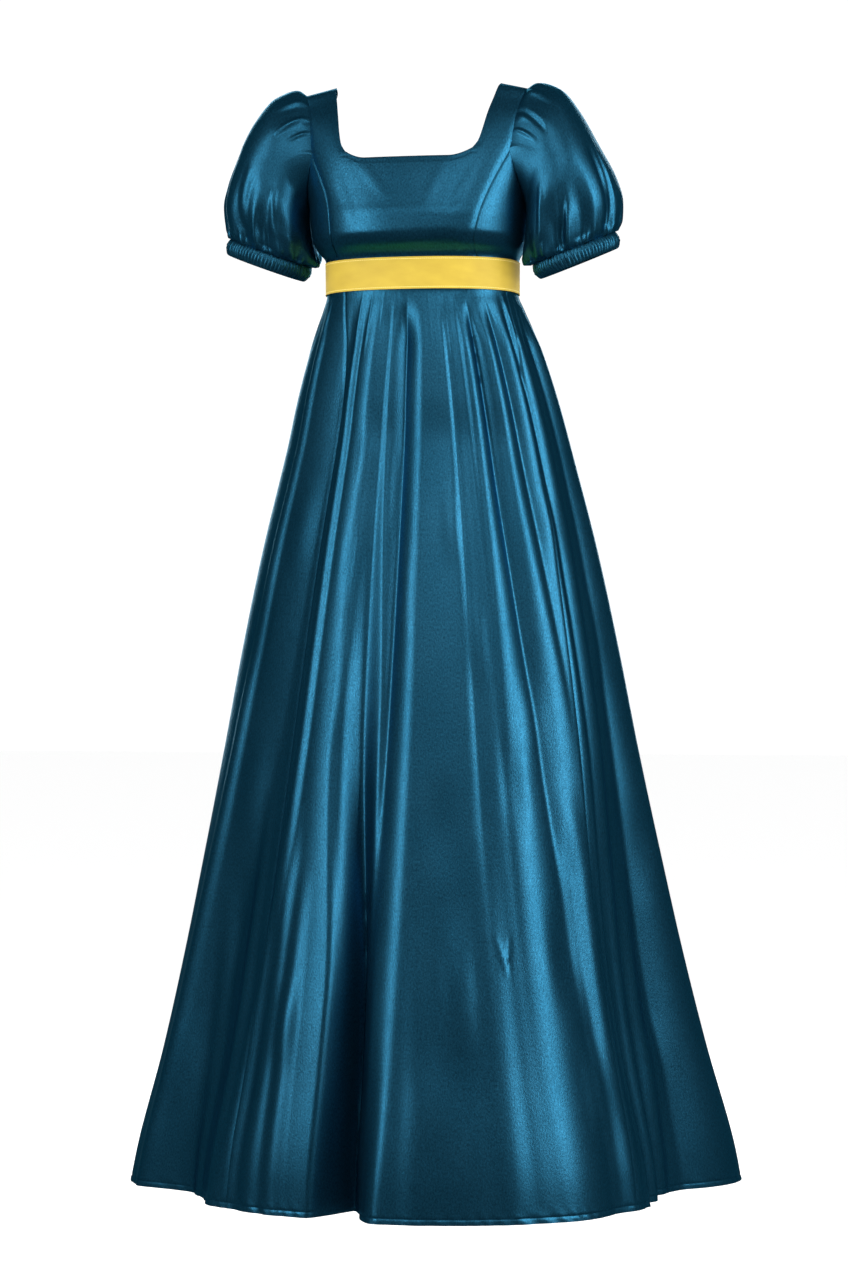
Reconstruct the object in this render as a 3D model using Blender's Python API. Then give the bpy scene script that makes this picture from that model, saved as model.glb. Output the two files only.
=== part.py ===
"""Regency gown: a high-waisted satin dress, filled out as when worn, in hollow cloth walls.

Frame: +Z is up, the front faces -Y, and the origin is midway between the two shoulder tops,
where the wearer holds the gown up. The wearer's right sleeve is at -X.
Heights in the tables are millimetres from the shoulder tops, so the hem is at -1397.
"Forward" is measured towards the front from the middle of the waist ring.
"""

import math

import bpy
from mathutils import Vector

MM = 0.001

# Driving sizes, in metres.
HEM_Z = -1.397
WAIST_Z = -0.242
RIBBON_WIDTH = 0.040
SHOULDER_FORWARD = 0.036
CLOTH = 1.2 * MM
RIBBON_THICKNESS = 1.0 * MM
SEAM_GAP = 0.3 * MM

# Colours: linear RGB.
SATIN = (0.010, 0.085, 0.130, 1.0)
CUFF_SATIN = (0.008, 0.070, 0.110, 1.0)
YELLOW = (0.82, 0.58, 0.08, 1.0)

# The bodice, in sections from the waist seam up to the shoulder seam. "squareness" is the
# power of the oval: 2 is an ellipse, and more is boxier.
BODICE_COLUMNS = ("height", "half_width", "front", "back", "squareness")
BODICE_SECTIONS = (
    (-242.0, 122.0, 90.0, 86.0, 2.35),
    (-220.0, 122.8, 91.5, 86.3, 2.35),
    (-206.0, 131.5, 112.0, 87.3, 2.35),
    (-191.0, 136.5, 121.5, 88.5, 2.35),
    (-172.0, 138.5, 121.5, 89.0, 2.40),
    (-154.0, 140.0, 118.5, 89.0, 2.45),
    (-124.0, 146.0, 111.5, 87.0, 2.55),
    (-96.0, 153.0, 103.0, 81.0, 2.60),
    (-68.0, 160.0, 91.0, 64.0, 2.60),
    (-42.0, 168.0, 76.0, 38.0, 2.60),
    (-20.0, 176.0, 58.5, 6.0, 2.60),
    (-4.0, 180.0, 46.5, -18.0, 2.60),
    (0.0, 182.0, 36.2, -35.8, 2.60),
)

# The skirt ring from the waist seam down to the hem, before its folds.
SKIRT_COLUMNS = ("height", "half_width", "half_depth", "forward", "sideways", "squareness")
SKIRT_SECTIONS = (
    (-242.0, 122.0, 88.0, 2.0, 0.0, 2.35),
    (-262.0, 121.5, 88.0, 1.0, 0.0, 2.35),
    (-281.0, 127.0, 93.0, -1.0, 0.5, 2.33),
    (-299.0, 134.0, 99.0, -4.0, 0.5, 2.30),
    (-331.0, 146.0, 110.0, -9.0, 1.0, 2.28),
    (-394.0, 165.0, 128.0, -19.0, 1.0, 2.25),
    (-458.0, 181.0, 144.0, -28.0, 1.0, 2.22),
    (-585.0, 213.0, 176.0, -33.0, 1.0, 2.18),
    (-712.0, 240.0, 205.0, -36.0, 1.0, 2.14),
    (-839.0, 264.0, 233.0, -40.0, 1.0, 2.12),
    (-966.0, 289.0, 262.0, -45.0, 1.0, 2.10),
    (-1093.0, 315.0, 293.0, -52.0, 1.0, 2.10),
    (-1220.0, 345.0, 328.0, -62.0, 1.0, 2.08),
    (-1347.0, 380.0, 368.0, -74.0, 0.5, 2.06),
    (-1397.0, 390.5, 378.0, -78.0, 0.0, 2.05),
)

# The long rolls and hollows of the skirt. Angles are degrees round the ring from the front,
# positive towards +X; the last four columns are how far the cloth stands out (+) or falls in
# (-) from the plain ring, in millimetres, at four heights.
FLUTE_COLUMNS = ("name", "waist_angle", "hem_angle", "hip", "thigh", "knee", "hem")
FLUTE_HEIGHTS = {"hip": -462.0, "thigh": -792.0, "knee": -1142.0, "hem": -1397.0}
FLUTES = (
    ("left back hollow", -140.0, -136.0, -5.0, -14.0, -34.0, -56.0),
    ("left back roll", -122.0, -118.0, 1.0, 0.0, 0.0, 2.0),
    ("left side dip", -108.0, -98.0, -4.0, -9.0, -20.0, -34.0),
    ("left side roll", -93.0, -75.0, 1.0, 1.0, 3.0, 5.0),
    ("left hollow", -48.0, -60.0, -7.0, -18.0, -46.0, -67.0),
    ("seam roll", -38.0, -37.0, 0.0, -4.0, -14.0, -25.0),
    ("left dip", -30.0, -27.0, -5.0, -10.0, -24.0, -44.0),
    ("left centre roll", -21.0, -19.0, 2.0, 0.0, -10.0, -38.0),
    ("deep hollow", -1.0, -12.0, -8.0, -27.0, -66.0, -100.0),
    ("centre roll", 13.0, 10.0, 1.0, 0.0, 0.0, 0.0),
    ("centre dip", 19.0, 24.0, -2.0, -5.0, -11.0, -24.0),
    ("right roll", 37.0, 33.0, 3.0, 1.0, -2.0, -3.0),
    ("right dip", 43.0, 43.0, -4.0, -7.0, -10.0, -20.0),
    ("right inner roll", 50.0, 54.0, 0.0, -3.0, -14.0, -38.0),
    ("right hollow", 62.0, 74.0, -7.0, -20.0, -52.0, -85.0),
    ("right side roll", 95.0, 105.0, 1.0, 1.0, 4.0, 6.0),
    ("right back hollow", 116.0, 126.0, -5.0, -14.0, -32.0, -54.0),
    ("right back roll", 134.0, 144.0, 1.0, 0.0, 0.0, 0.0),
    ("back hollow", 152.0, 160.0, -6.0, -16.0, -36.0, -60.0),
    ("centre back roll", 176.0, 181.0, 3.0, 2.0, 2.0, 4.0),
    ("left inner hollow", 198.0, 202.0, -6.0, -13.0, -30.0, -48.0),
    ("left inner roll", 208.0, 213.0, 1.0, 0.0, -2.0, -6.0),
)

# The gathers that run down from the ribbon: ridges laid over the long folds. "width" is half
# the ridge's breadth in degrees, "rise" its height, and "fade" the height where it has died.
GATHER_COLUMNS = ("waist_angle", "low_angle", "width", "rise", "fade")
FRONT_GATHERS = (
    (-93.0, -84.0, 7.0, 5.0, -1000.0),
    (-46.0, -41.0, 5.0, 4.0, -780.0),
    (-35.0, -32.0, 4.5, 4.5, -1500.0),
    (-23.0, -17.0, 5.5, 6.5, -1500.0),
    (-12.0, -5.0, 5.0, 4.5, -1120.0),
    (12.0, 4.0, 6.0, 5.5, -1250.0),
    (24.0, 24.0, 5.5, 5.0, -1200.0),
    (32.0, 31.0, 4.0, 3.5, -1150.0),
    (40.0, 38.0, 4.0, 6.5, -1500.0),
    (49.0, 52.0, 5.0, 6.0, -1150.0),
    (60.0, 58.0, 4.0, 4.5, -800.0),
    (68.0, 78.0, 5.0, 4.5, -850.0),
    (90.0, 97.0, 6.0, 4.5, -700.0),
)
BACK_GATHERS = 15
BACK_GATHER_START = 104.0
BACK_GATHER_STEP = 10.6

# The skirt's seams: angle of each at the waist, just below it, and at the hem.
SEAM_COLUMNS = ("name", "waist_angle", "hip_angle", "hem_angle")
SKIRT_SEAMS = (
    ("front left", -53.0, -37.0, -35.0),
    ("front right", 74.0, 63.0, 56.0),
    ("back right", 122.0, 120.0, 124.0),
    ("centre back", 180.0, 180.0, 180.0),
    ("back left", 238.0, 240.0, 236.0),
)
SKIRT_PANELS = (
    ("skirt_front", "front left", 0.0, "front right", 0.0, 36),
    ("skirt_side_right", "front right", 0.0, "back right", 0.0, 23),
    ("skirt_back_right", "back right", 0.0, "centre back", 0.0, 21),
    ("skirt_back_left", "centre back", 0.0, "back left", 0.0, 21),
    ("skirt_side_left", "back left", 0.0, "front left", 360.0, 25),
)
SKIRT_ROW_COUNT = 12
SKIRT_ROW_POWER = 1.35

# Outer edge of the bodice front: princess seam below, armhole above. Half-widths by height.
FRONT_EDGE_COLUMNS = ("height", "half_width")
FRONT_EDGE = (
    (-242.0, 89.5),
    (-204.0, 91.5),
    (-166.0, 97.0),
    (-144.0, 103.0),
    (-121.0, 112.5),
    (-100.0, 122.5),
    (-82.0, 130.0),
    (-54.0, 133.0),
    (-20.0, 139.0),
    (0.0, 146.0),
)
FRONT_NECK_EDGE = (
    (-88.0, 79.5),
    (-79.0, 85.5),
    (-64.0, 89.5),
    (-41.0, 94.0),
    (0.0, 104.0),
)
BACK_NECK_EDGE = (
    (-88.0, 114.0),
    (-79.0, 119.0),
    (-54.0, 121.0),
    (-20.0, 116.0),
    (0.0, 104.0),
)
BACK_ARMHOLE_EDGE = (
    (-100.0, 137.0),
    (-88.0, 137.5),
    (-54.0, 139.0),
    (-20.0, 142.0),
    (0.0, 146.0),
)
NECK_CORNER = -88.0
# The front's princess seams swing a little to one side as they near the waist.
SEAM_SWING = -7.0
SEAM_SWING_START = -130.0
NECK_BOTTOM = -98.0
NECK_ROUNDING = 0.34
# The right-hand strap stands a little further out than the left-hand one.
RIGHT_STRAP_SHIFT = 4.0
BACK_ARMHOLE_FOOT = -100.0
UNDERARM = -154.0
ARMHOLE_MIDDLE = -82.0
SIDE_SEAM_ANGLE = 98.0
SHOULDER_DROP = 0.23

# The right sleeve from the armhole to the cuff, in rings: where each ring's outer and inner
# ends lie, its half-size from front to back, and its squareness. The left sleeve mirrors it.
SLEEVE_COLUMNS = (
    "along", "outer_x", "outer_height", "inner_x", "inner_height", "half_depth", "squareness",
)
SLEEVE_SECTIONS = (
    (0.00, 146.0, -9.0, 139.3, -154.0, 62.0, 2.0),
    (0.12, 162.0, 0.0, 140.5, -161.0, 66.0, 2.1),
    (0.25, 186.0, -8.0, 140.0, -172.0, 70.0, 2.2),
    (0.40, 213.0, -38.0, 138.5, -185.0, 74.0, 2.3),
    (0.55, 233.5, -78.0, 137.0, -197.0, 77.0, 2.4),
    (0.70, 250.5, -118.0, 134.5, -208.0, 75.0, 2.4),
    (0.82, 256.5, -145.0, 133.0, -216.0, 70.0, 2.3),
    (0.93, 254.0, -171.0, 136.5, -223.0, 63.0, 2.1),
    (1.00, 247.6, -184.8, 145.5, -223.1, 54.5, 2.0),
)
SLEEVE_FORWARD = 10.0
ARMHOLE_GAP = 0.6 * MM
# The right sleeve has sunk in a little at its outer shoulder.
SLEEVE_SLACK = {"left": 0.0, "right": 8.0}
# The right sleeve hangs a little lower.
SLEEVE_SAG = {"left": 0.0, "right": 3.5}
SLEEVE_RINGS = (0.0, 0.05, 0.12, 0.21, 0.33, 0.47, 0.62, 0.77, 0.90, 1.0)
SLEEVE_COLUMN_STEP = 8.2
HEAD_BLEND = 0.30
HEAD_GATHERS = ((-58.0, 3.0), (-34.0, 4.0), (-12.0, 3.5), (12.0, 4.0), (36.0, 3.5), (60.0, 2.5))
HEAD_GATHER_WIDTH = 9.0
HEAD_GATHER_END = 0.42
# Hollows that the cuff's gathers draw into the sleeve: turn in degrees, and depth.
CUFF_HOLLOWS = (
    (27.0, 8.0), (68.0, 6.5), (98.0, 8.0), (140.0, 6.0),
    (192.0, 6.0), (228.0, 7.5), (268.0, 6.5), (318.0, 7.0),
)
CUFF_HOLLOW_WIDTH = 17.0
CUFF_HOLLOW_START = 0.48
# How far each cuff nods: its front edge hangs lower than its back edge.
CUFF_NOD = {"left": 3.0, "right": 9.0}

# The shirred cuffs.
CUFF_RIBS = 72
CUFF_RIB_RISE = 0.9
CUFF_TOP = (196.7, -204.4)
CUFF_TURN = 69.4
CUFF_DEPTH = 19.0
CUFF_WALL = 1.9
CUFF_ROW_COLUMNS = ("down", "radius", "rib_share")
CUFF_ROWS = (
    (0.00, 53.6, 0.35),
    (0.45, 54.6, 1.00),
    (1.00, 51.2, 0.45),
)


def clear_scene():
    for thing in list(bpy.data.objects):
        bpy.data.objects.remove(thing, do_unlink=True)


def fabric_material(name, colour, roughness, metallic):
    material = bpy.data.materials.new(name)
    material.use_nodes = True
    shader = material.node_tree.nodes["Principled BSDF"]
    shader.inputs["Base Color"].default_value = colour
    shader.inputs["Roughness"].default_value = roughness
    shader.inputs["Metallic"].default_value = metallic
    material.diffuse_color = colour
    return material


def smoothstep(value):
    value = min(1.0, max(0.0, value))
    return value * value * (3.0 - 2.0 * value)


def bump(apart):
    """A rounded bump: 1 in the middle, 0 from a distance of 1 outwards."""
    return 0.5 + 0.5 * math.cos(math.pi * min(1.0, abs(apart)))


def smooth_reading(stations, values, at):
    """Read a smooth curve through (station, value) pairs that never overshoots them."""
    if at <= stations[0]:
        return values[0]
    if at >= stations[-1]:
        return values[-1]
    spans = [b - a for a, b in zip(stations, stations[1:])]
    slopes = [(b - a) / span for a, b, span in zip(values, values[1:], spans)]
    place = max(i for i, station in enumerate(stations[:-1]) if station <= at)

    def tangent(i):
        if i == 0:
            return slopes[0]
        if i == len(slopes):
            return slopes[-1]
        before, after = slopes[i - 1], slopes[i]
        if before * after <= 0.0:
            return 0.0
        return 2.0 * before * after / (before + after)

    span = spans[place]
    t = (at - stations[place]) / span
    start, end = values[place], values[place + 1]
    return (
        start * (1.0 + 2.0 * t) * (1.0 - t) ** 2
        + tangent(place) * span * t * (1.0 - t) ** 2
        + end * t * t * (3.0 - 2.0 * t)
        + tangent(place + 1) * span * t * t * (t - 1.0)
    )


def table_reader(rows, columns, key):
    """A function that reads any column of a table at any value of its key column."""
    order = sorted(rows, key=lambda row: row[columns.index(key)])
    stations = [row[columns.index(key)] for row in order]

    def read(column, at):
        values = [row[columns.index(column)] for row in order]
        return smooth_reading(stations, values, at)

    return read


skirt_at = table_reader(SKIRT_SECTIONS, SKIRT_COLUMNS, "height")
sleeve_at = table_reader(SLEEVE_SECTIONS, SLEEVE_COLUMNS, "along")
front_edge_at = table_reader(FRONT_EDGE, FRONT_EDGE_COLUMNS, "height")
front_neck_at = table_reader(FRONT_NECK_EDGE, FRONT_EDGE_COLUMNS, "height")
back_neck_at = table_reader(BACK_NECK_EDGE, FRONT_EDGE_COLUMNS, "height")
back_armhole_at = table_reader(BACK_ARMHOLE_EDGE, FRONT_EDGE_COLUMNS, "height")


def bodice_at(column, level):
    """Read the bodice table at a level, which counts sections up from the waist seam."""
    values = [row[BODICE_COLUMNS.index(column)] for row in BODICE_SECTIONS]
    return smooth_reading(list(range(len(values))), values, level)


def level_of(height):
    """The bodice level that lies at a height, found by halving."""
    low, high = 0.0, float(len(BODICE_SECTIONS) - 1)
    for _ in range(40):
        middle = (low + high) / 2.0
        if bodice_at("height", middle) < height:
            low = middle
        else:
            high = middle
    return (low + high) / 2.0


def place(x, forward, height):
    """A point in metres from table millimetres."""
    return Vector((x * MM, SHOULDER_FORWARD - forward * MM, height * MM))


def oval_radius(angle, half_width, half_depth, squareness):
    sine, cosine = abs(math.sin(angle)), abs(math.cos(angle))
    total = (sine / half_width) ** squareness + (cosine / half_depth) ** squareness
    return total ** (-1.0 / squareness)


def surface_normal(surface, first, second, first_step, second_step):
    """The unit normal of surface(first, second), by central differences."""
    along = surface(first + first_step, second) - surface(first - first_step, second)
    across = surface(first, second + second_step) - surface(first, second - second_step)
    return along.cross(across).normalized()


# ---------------------------------------------------------------- walls

def build_wall(name, outer, inner, cells, material):
    """Make one closed wall from two sheets of keyed points and the cells between them.

    A cell is four keys, counter-clockwise as seen from outside. Open edges get rims.
    """
    keys = sorted({key for cell in cells for key in cell})
    index = {key: i for i, key in enumerate(keys)}
    count = len(keys)
    points = [outer[key] for key in keys] + [inner[key] for key in keys]
    faces = []
    edges = set()
    for cell in cells:
        a, b, c, d = (index[key] for key in cell)
        for triangle in ((a, b, c), (a, c, d)):
            faces.append(triangle)
            faces.append(tuple(count + i for i in reversed(triangle)))
            edges.update(zip(triangle, triangle[1:] + triangle[:1]))
    for a, b in sorted(edges):
        if (b, a) not in edges:
            faces.append((b, a, count + a))
            faces.append((b, count + a, count + b))
    mesh = bpy.data.meshes.new(name)
    mesh.from_pydata(points, [], faces)
    mesh.materials.append(material)
    mesh.shade_smooth()
    mesh.set_sharp_from_angle(angle=math.radians(40.0))
    thing = bpy.data.objects.new(name, mesh)
    bpy.context.scene.collection.objects.link(thing)
    return thing


def block_cells(rows, columns, closed=False):
    """Cells of a block of rows by columns, with rows running up and columns to the right."""
    cells = []
    for i, j in ((i, j) for i in rows[:-1] for j in columns[:-1]):
        cells.append(((i, j), (i, j + 1), (i + 1, j + 1), (i + 1, j)))
    if closed:
        first, last = columns[0], columns[-1]
        for i in rows[:-1]:
            cells.append(((i, last), (i, first), (i + 1, first), (i + 1, last)))
    return cells


def flipped(cells):
    return [tuple(reversed(cell)) for cell in cells]


# ---------------------------------------------------------------- skirt

def between(start, end, height, power=1.0):
    """Blend from a waist value to a hem value at a height in millimetres."""
    drop = (WAIST_Z / MM - height) / (WAIST_Z / MM - HEM_Z / MM)
    return start + (end - start) * min(1.0, max(0.0, drop)) ** power


def flute_offset(angle, height):
    """How far the long folds move the ring at an angle in degrees and a height in mm."""
    stations = [FLUTE_HEIGHTS[key] for key in ("hem", "knee", "thigh", "hip")] + [-262.0]
    lines = []
    for row in FLUTES:
        record = dict(zip(FLUTE_COLUMNS, row))
        values = [record[key] for key in ("hem", "knee", "thigh", "hip")] + [0.0]
        lines.append((
            between(record["waist_angle"], record["hem_angle"], height, 0.8),
            smooth_reading(stations, values, height),
        ))
    angle = (angle - lines[0][0]) % 360.0 + lines[0][0]
    lines.append((lines[0][0] + 360.0, lines[0][1]))
    for (start, low), (end, high) in zip(lines, lines[1:]):
        if angle <= end:
            return low + (high - low) * smoothstep((angle - start) / (end - start))
    return lines[0][1]


def all_gathers():
    """Front gathers from the table, and uneven ones of like size round the back."""
    rows = list(FRONT_GATHERS)
    for k in range(BACK_GATHERS):
        angle = BACK_GATHER_START + k * BACK_GATHER_STEP + 2.2 * math.sin(1.9 * k)
        rows.append((
            angle,
            angle + 2.0 * math.sin(0.9 * k),
            5.0 + math.sin(2.7 * k),
            5.0 + 1.3 * math.sin(2.1 * k + 0.6),
            -1000.0 - 220.0 * math.sin(3.3 * k),
        ))
    return [dict(zip(GATHER_COLUMNS, row)) for row in rows]


GATHERS = all_gathers()
GATHER_TOP = -263.0
GATHER_FULL = -352.0


def gather_offset(angle, height):
    if height >= GATHER_TOP:
        return 0.0
    total = 0.0
    for row in GATHERS:
        if height <= row["fade"]:
            continue
        centre = between(row["waist_angle"], row["low_angle"], height, 0.5)
        apart = (angle - centre + 180.0) % 360.0 - 180.0
        grown = smoothstep((GATHER_TOP - height) / (GATHER_TOP - GATHER_FULL))
        left = smoothstep((height - row["fade"]) / (0.6 * (GATHER_FULL - row["fade"])))
        total += row["rise"] * grown * left * bump(apart / row["width"])
    return total


def skirt_surface(angle, height):
    """Outer face of the skirt: angle in degrees from the front, height in millimetres."""
    turn = math.radians(angle)
    radius = oval_radius(
        turn,
        skirt_at("half_width", height),
        skirt_at("half_depth", height),
        skirt_at("squareness", height),
    )
    radius += flute_offset(angle, height) + gather_offset(angle, height)
    forward = skirt_at("forward", height) + radius * math.cos(turn)
    return place(skirt_at("sideways", height) + radius * math.sin(turn), forward, height)


def skirt_seam_angle(name, height):
    row = next(dict(zip(SEAM_COLUMNS, row)) for row in SKIRT_SEAMS if row[0] == name)
    stations = [HEM_Z / MM, -420.0, WAIST_Z / MM]
    values = [row["hem_angle"], row["hip_angle"], row["waist_angle"]]
    return smooth_reading(stations, values, height)


def skirt_rows():
    """Row heights from the hem up, closer together where the skirt springs from the ribbon."""
    ribbon_bottom = (WAIST_Z - RIBBON_WIDTH / 2.0) / MM
    rows = []
    for k in range(SKIRT_ROW_COUNT + 1):
        share = (1.0 - k / SKIRT_ROW_COUNT) ** SKIRT_ROW_POWER
        rows.append(ribbon_bottom + share * (HEM_Z / MM - ribbon_bottom))
    rows.append((WAIST_Z - SEAM_GAP / 2.0) / MM)
    return rows


def trim_angle(surface, angle, height):
    """The angle in degrees that half a seam gap takes up on a ring."""
    reach = (surface(angle + 0.2, height) - surface(angle - 0.2, height)).length
    return (SEAM_GAP / 2.0) * 0.4 / reach


def make_skirt(material):
    rows = skirt_rows()
    for name, start, start_turn, end, end_turn, count in SKIRT_PANELS:
        outer, inner = {}, {}
        for i, height in enumerate(rows):
            first = skirt_seam_angle(start, height) + start_turn
            last = skirt_seam_angle(end, height) + end_turn
            first += trim_angle(skirt_surface, first, height)
            last -= trim_angle(skirt_surface, last, height)
            for j in range(count + 1):
                angle = first + (last - first) * j / count
                normal = surface_normal(skirt_surface, angle, height, 0.4, 3.0)
                outer[i, j] = skirt_surface(angle, height)
                inner[i, j] = outer[i, j] - normal * CLOTH
        cells = block_cells(range(len(rows)), range(count + 1))
        build_wall(name, outer, inner, cells, material)


# ---------------------------------------------------------------- bodice

def bodice_ring(angle, level):
    """Outer face of the bodice: angle in degrees from the front, level up from the waist."""
    front, back = bodice_at("front", level), bodice_at("back", level)
    turn = math.radians(angle)
    radius = oval_radius(
        turn,
        bodice_at("half_width", level),
        (front + back) / 2.0,
        bodice_at("squareness", level),
    )
    forward = (front - back) / 2.0 + radius * math.cos(turn)
    return place(radius * math.sin(turn), forward, bodice_at("height", level))


def bodice_sheet(x, level, face):
    """Front (face 1) or back (face -1) of the bodice over a sideways place in millimetres."""
    front, back = bodice_at("front", level), bodice_at("back", level)
    across = min(0.999, abs(x) / bodice_at("half_width", level))
    squareness = bodice_at("squareness", level)
    reach = (1.0 - across ** squareness) ** (1.0 / squareness)
    forward = (front - back) / 2.0 + face * reach * (front + back) / 2.0
    height = bodice_at("height", level)
    top = smoothstep((height - NECK_CORNER) / -NECK_CORNER)
    slope = SHOULDER_DROP * top * max(0.0, abs(x) - 104.0)
    return place(x, forward, height - slope)


def sheet_point_and_normal(x, level, face):
    def surface(first, second):
        return bodice_sheet(first, second, face)

    top_level = len(BODICE_SECTIONS) - 1.0
    normal = surface_normal(surface, x, min(level, top_level - 0.02), 0.5, 0.02)
    return surface(x, level), normal * face


def angle_at_x(x, level):
    """Angle of the front point of a bodice ring that lies at a sideways place."""
    front, back = bodice_at("front", level), bodice_at("back", level)
    across = abs(x) / bodice_at("half_width", level)
    squareness = bodice_at("squareness", level)
    reach = (1.0 - across ** squareness) ** (1.0 / squareness) * (front + back) / 2.0
    return math.degrees(math.atan2(x, reach))


def strap_inner_edge(read_edge, side, height):
    """Half-width of a strap's neck edge; side is 1 for the strap at +X."""
    return read_edge("half_width", height) + RIGHT_STRAP_SHIFT * (side > 0)


def front_edge_x(side, height):
    """Signed sideways place of the bodice front's edge."""
    swing = smoothstep((SEAM_SWING_START - height) / (SEAM_SWING_START - WAIST_Z / MM))
    return side * front_edge_at("half_width", height) + SEAM_SWING * swing


def bodice_row(row, top):
    """Height of a bodice row under an edge at a top height; row 1 clears the ribbon."""
    waist = (WAIST_Z + SEAM_GAP / 2.0) / MM
    if row == 0:
        return waist
    first = (WAIST_Z + RIBBON_WIDTH / 2.0) / MM + 1.5
    return first + (top - first) * (row - 1) / (BODICE_ROWS - 1)


def neckline_height(share):
    """Height of a square neckline with rounded corners; share runs from -1 to 1 across."""
    turned = max(0.0, abs(share) - (1.0 - NECK_ROUNDING)) / NECK_ROUNDING
    return NECK_BOTTOM + (NECK_CORNER - NECK_BOTTOM) * turned ** 2.2


BODICE_ROWS = 8
STRAP_COLUMNS = 2
# Shares of the half neckline at which its columns stand, closer together at the corner.
NECK_STEPS = (0.0, 0.22, 0.43, 0.61, 0.75, 0.87, 0.95, 1.0)
# Shares of the strap's rise at which its rows stand.
STRAP_STEPS = (0.0, 0.07, 0.24, 0.43, 0.62, 0.81, 1.0)


def strap_levels():
    start, end = level_of(NECK_CORNER), len(BODICE_SECTIONS) - 1.0
    return [start + (end - start) * step for step in STRAP_STEPS]


def shoulder_inner(point, normal):
    """Inner point of the shoulder seam: straight below, so that front and back stay apart."""
    return point - Vector((0.0, 0.0, CLOTH / max(0.5, normal.z)))


def make_bodice_front(material):
    outer, inner = {}, {}
    half_gap = SEAM_GAP / 2.0 / MM
    half = len(NECK_STEPS) - 1
    last = half + STRAP_COLUMNS
    for j in range(-last, last + 1):
        step = NECK_STEPS[min(abs(j), half)]
        top = neckline_height(step) if abs(j) <= half else NECK_CORNER
        side = 1 if j > 0 else -1
        corner = strap_inner_edge(front_neck_at, side, NECK_CORNER)
        corner /= front_edge_at("half_width", NECK_CORNER)
        share = corner * step + (1.0 - corner) * max(0, abs(j) - half) / STRAP_COLUMNS
        share *= side
        for i in range(BODICE_ROWS + 1):
            height = bodice_row(i, top)
            left = front_edge_x(-1, height) + half_gap
            right = front_edge_x(1, height) - half_gap
            x = (left + right) / 2.0 + share * (right - left) / 2.0
            point, normal = sheet_point_and_normal(x, level_of(height), 1)
            outer[i, j], inner[i, j] = point, point - normal * CLOTH
    levels = strap_levels()
    for k, level in enumerate(levels[1:], start=1):
        i = BODICE_ROWS + k
        height = bodice_at("height", level)
        outside = front_edge_at("half_width", height) - half_gap
        for side in (-1, 1):
            inside = strap_inner_edge(front_neck_at, side, height)
            for step in range(STRAP_COLUMNS + 1):
                x = side * (inside + (outside - inside) * step / STRAP_COLUMNS)
                point, normal = sheet_point_and_normal(x, level, 1)
                j = side * (half + step)
                outer[i, j], inner[i, j] = point, point - normal * CLOTH
                if k == len(levels) - 1:
                    inner[i, j] = shoulder_inner(point, normal)
    strap_range = range(BODICE_ROWS, BODICE_ROWS + len(levels))
    cells = block_cells(range(BODICE_ROWS + 1), range(-last, last + 1))
    cells += block_cells(strap_range, range(-last, -half + 1))
    cells += block_cells(strap_range, range(half, last + 1))
    build_wall("bodice_front", outer, inner, cells, material)


SIDE_COLUMNS = 8
BACK_SIDE_COLUMNS = 5
BACK_CENTRE_COLUMNS = 5


def armhole_curve(share, start_height):
    """Height of the armhole's lower curve; share runs from its upright edge to the underarm."""
    return start_height + (UNDERARM - start_height) * math.sqrt(1.0 - (1.0 - share) ** 2)


def make_bodice_side(name, side, material):
    outer, inner = {}, {}
    for j in range(SIDE_COLUMNS + 1):
        share = 1.0 - math.cos(math.pi / 2.0 * j / SIDE_COLUMNS)
        top = armhole_curve(share, NECK_CORNER)
        for i in range(BODICE_ROWS + 1):
            seam_height = bodice_row(i, NECK_CORNER)
            seam_level = level_of(seam_height)
            first = abs(angle_at_x(front_edge_x(side, seam_height), seam_level))
            first += trim_angle(bodice_ring, first, seam_level)
            level = level_of(bodice_row(i, top))
            end = SIDE_SEAM_ANGLE - trim_angle(bodice_ring, SIDE_SEAM_ANGLE, level)
            angle = side * (first + (end - first) * share)
            normal = surface_normal(bodice_ring, angle, level, 0.5, 0.02)
            outer[i, j] = bodice_ring(angle, level)
            inner[i, j] = outer[i, j] - normal * CLOTH
    cells = block_cells(range(BODICE_ROWS + 1), range(SIDE_COLUMNS + 1))
    build_wall(name, outer, inner, cells if side > 0 else flipped(cells), material)


def back_column(j, side):
    """Angle and top height of a column of the back, from the side seam to the centre back."""
    strap_x = back_armhole_at("half_width", BACK_ARMHOLE_FOOT)
    neck_x = strap_inner_edge(back_neck_at, side, NECK_CORNER)
    if j <= BACK_SIDE_COLUMNS:
        share = math.sin(math.pi / 2.0 * j / BACK_SIDE_COLUMNS)
        end = 180.0 - angle_at_x(strap_x, level_of(BACK_ARMHOLE_FOOT))
        angle = SIDE_SEAM_ANGLE + (end - SIDE_SEAM_ANGLE) * share
        return angle, armhole_curve(1.0 - share, BACK_ARMHOLE_FOOT)
    strap_share = (j - BACK_SIDE_COLUMNS) / STRAP_COLUMNS
    if strap_share <= 1.0:
        top = BACK_ARMHOLE_FOOT + (NECK_CORNER - BACK_ARMHOLE_FOOT) * strap_share
        x = strap_x + (neck_x - strap_x) * strap_share
    else:
        share = 1.0 - (j - BACK_SIDE_COLUMNS - STRAP_COLUMNS) / BACK_CENTRE_COLUMNS
        top = neckline_height(share)
        x = neck_x * share
    return 180.0 - angle_at_x(x, level_of(top)), top


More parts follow.
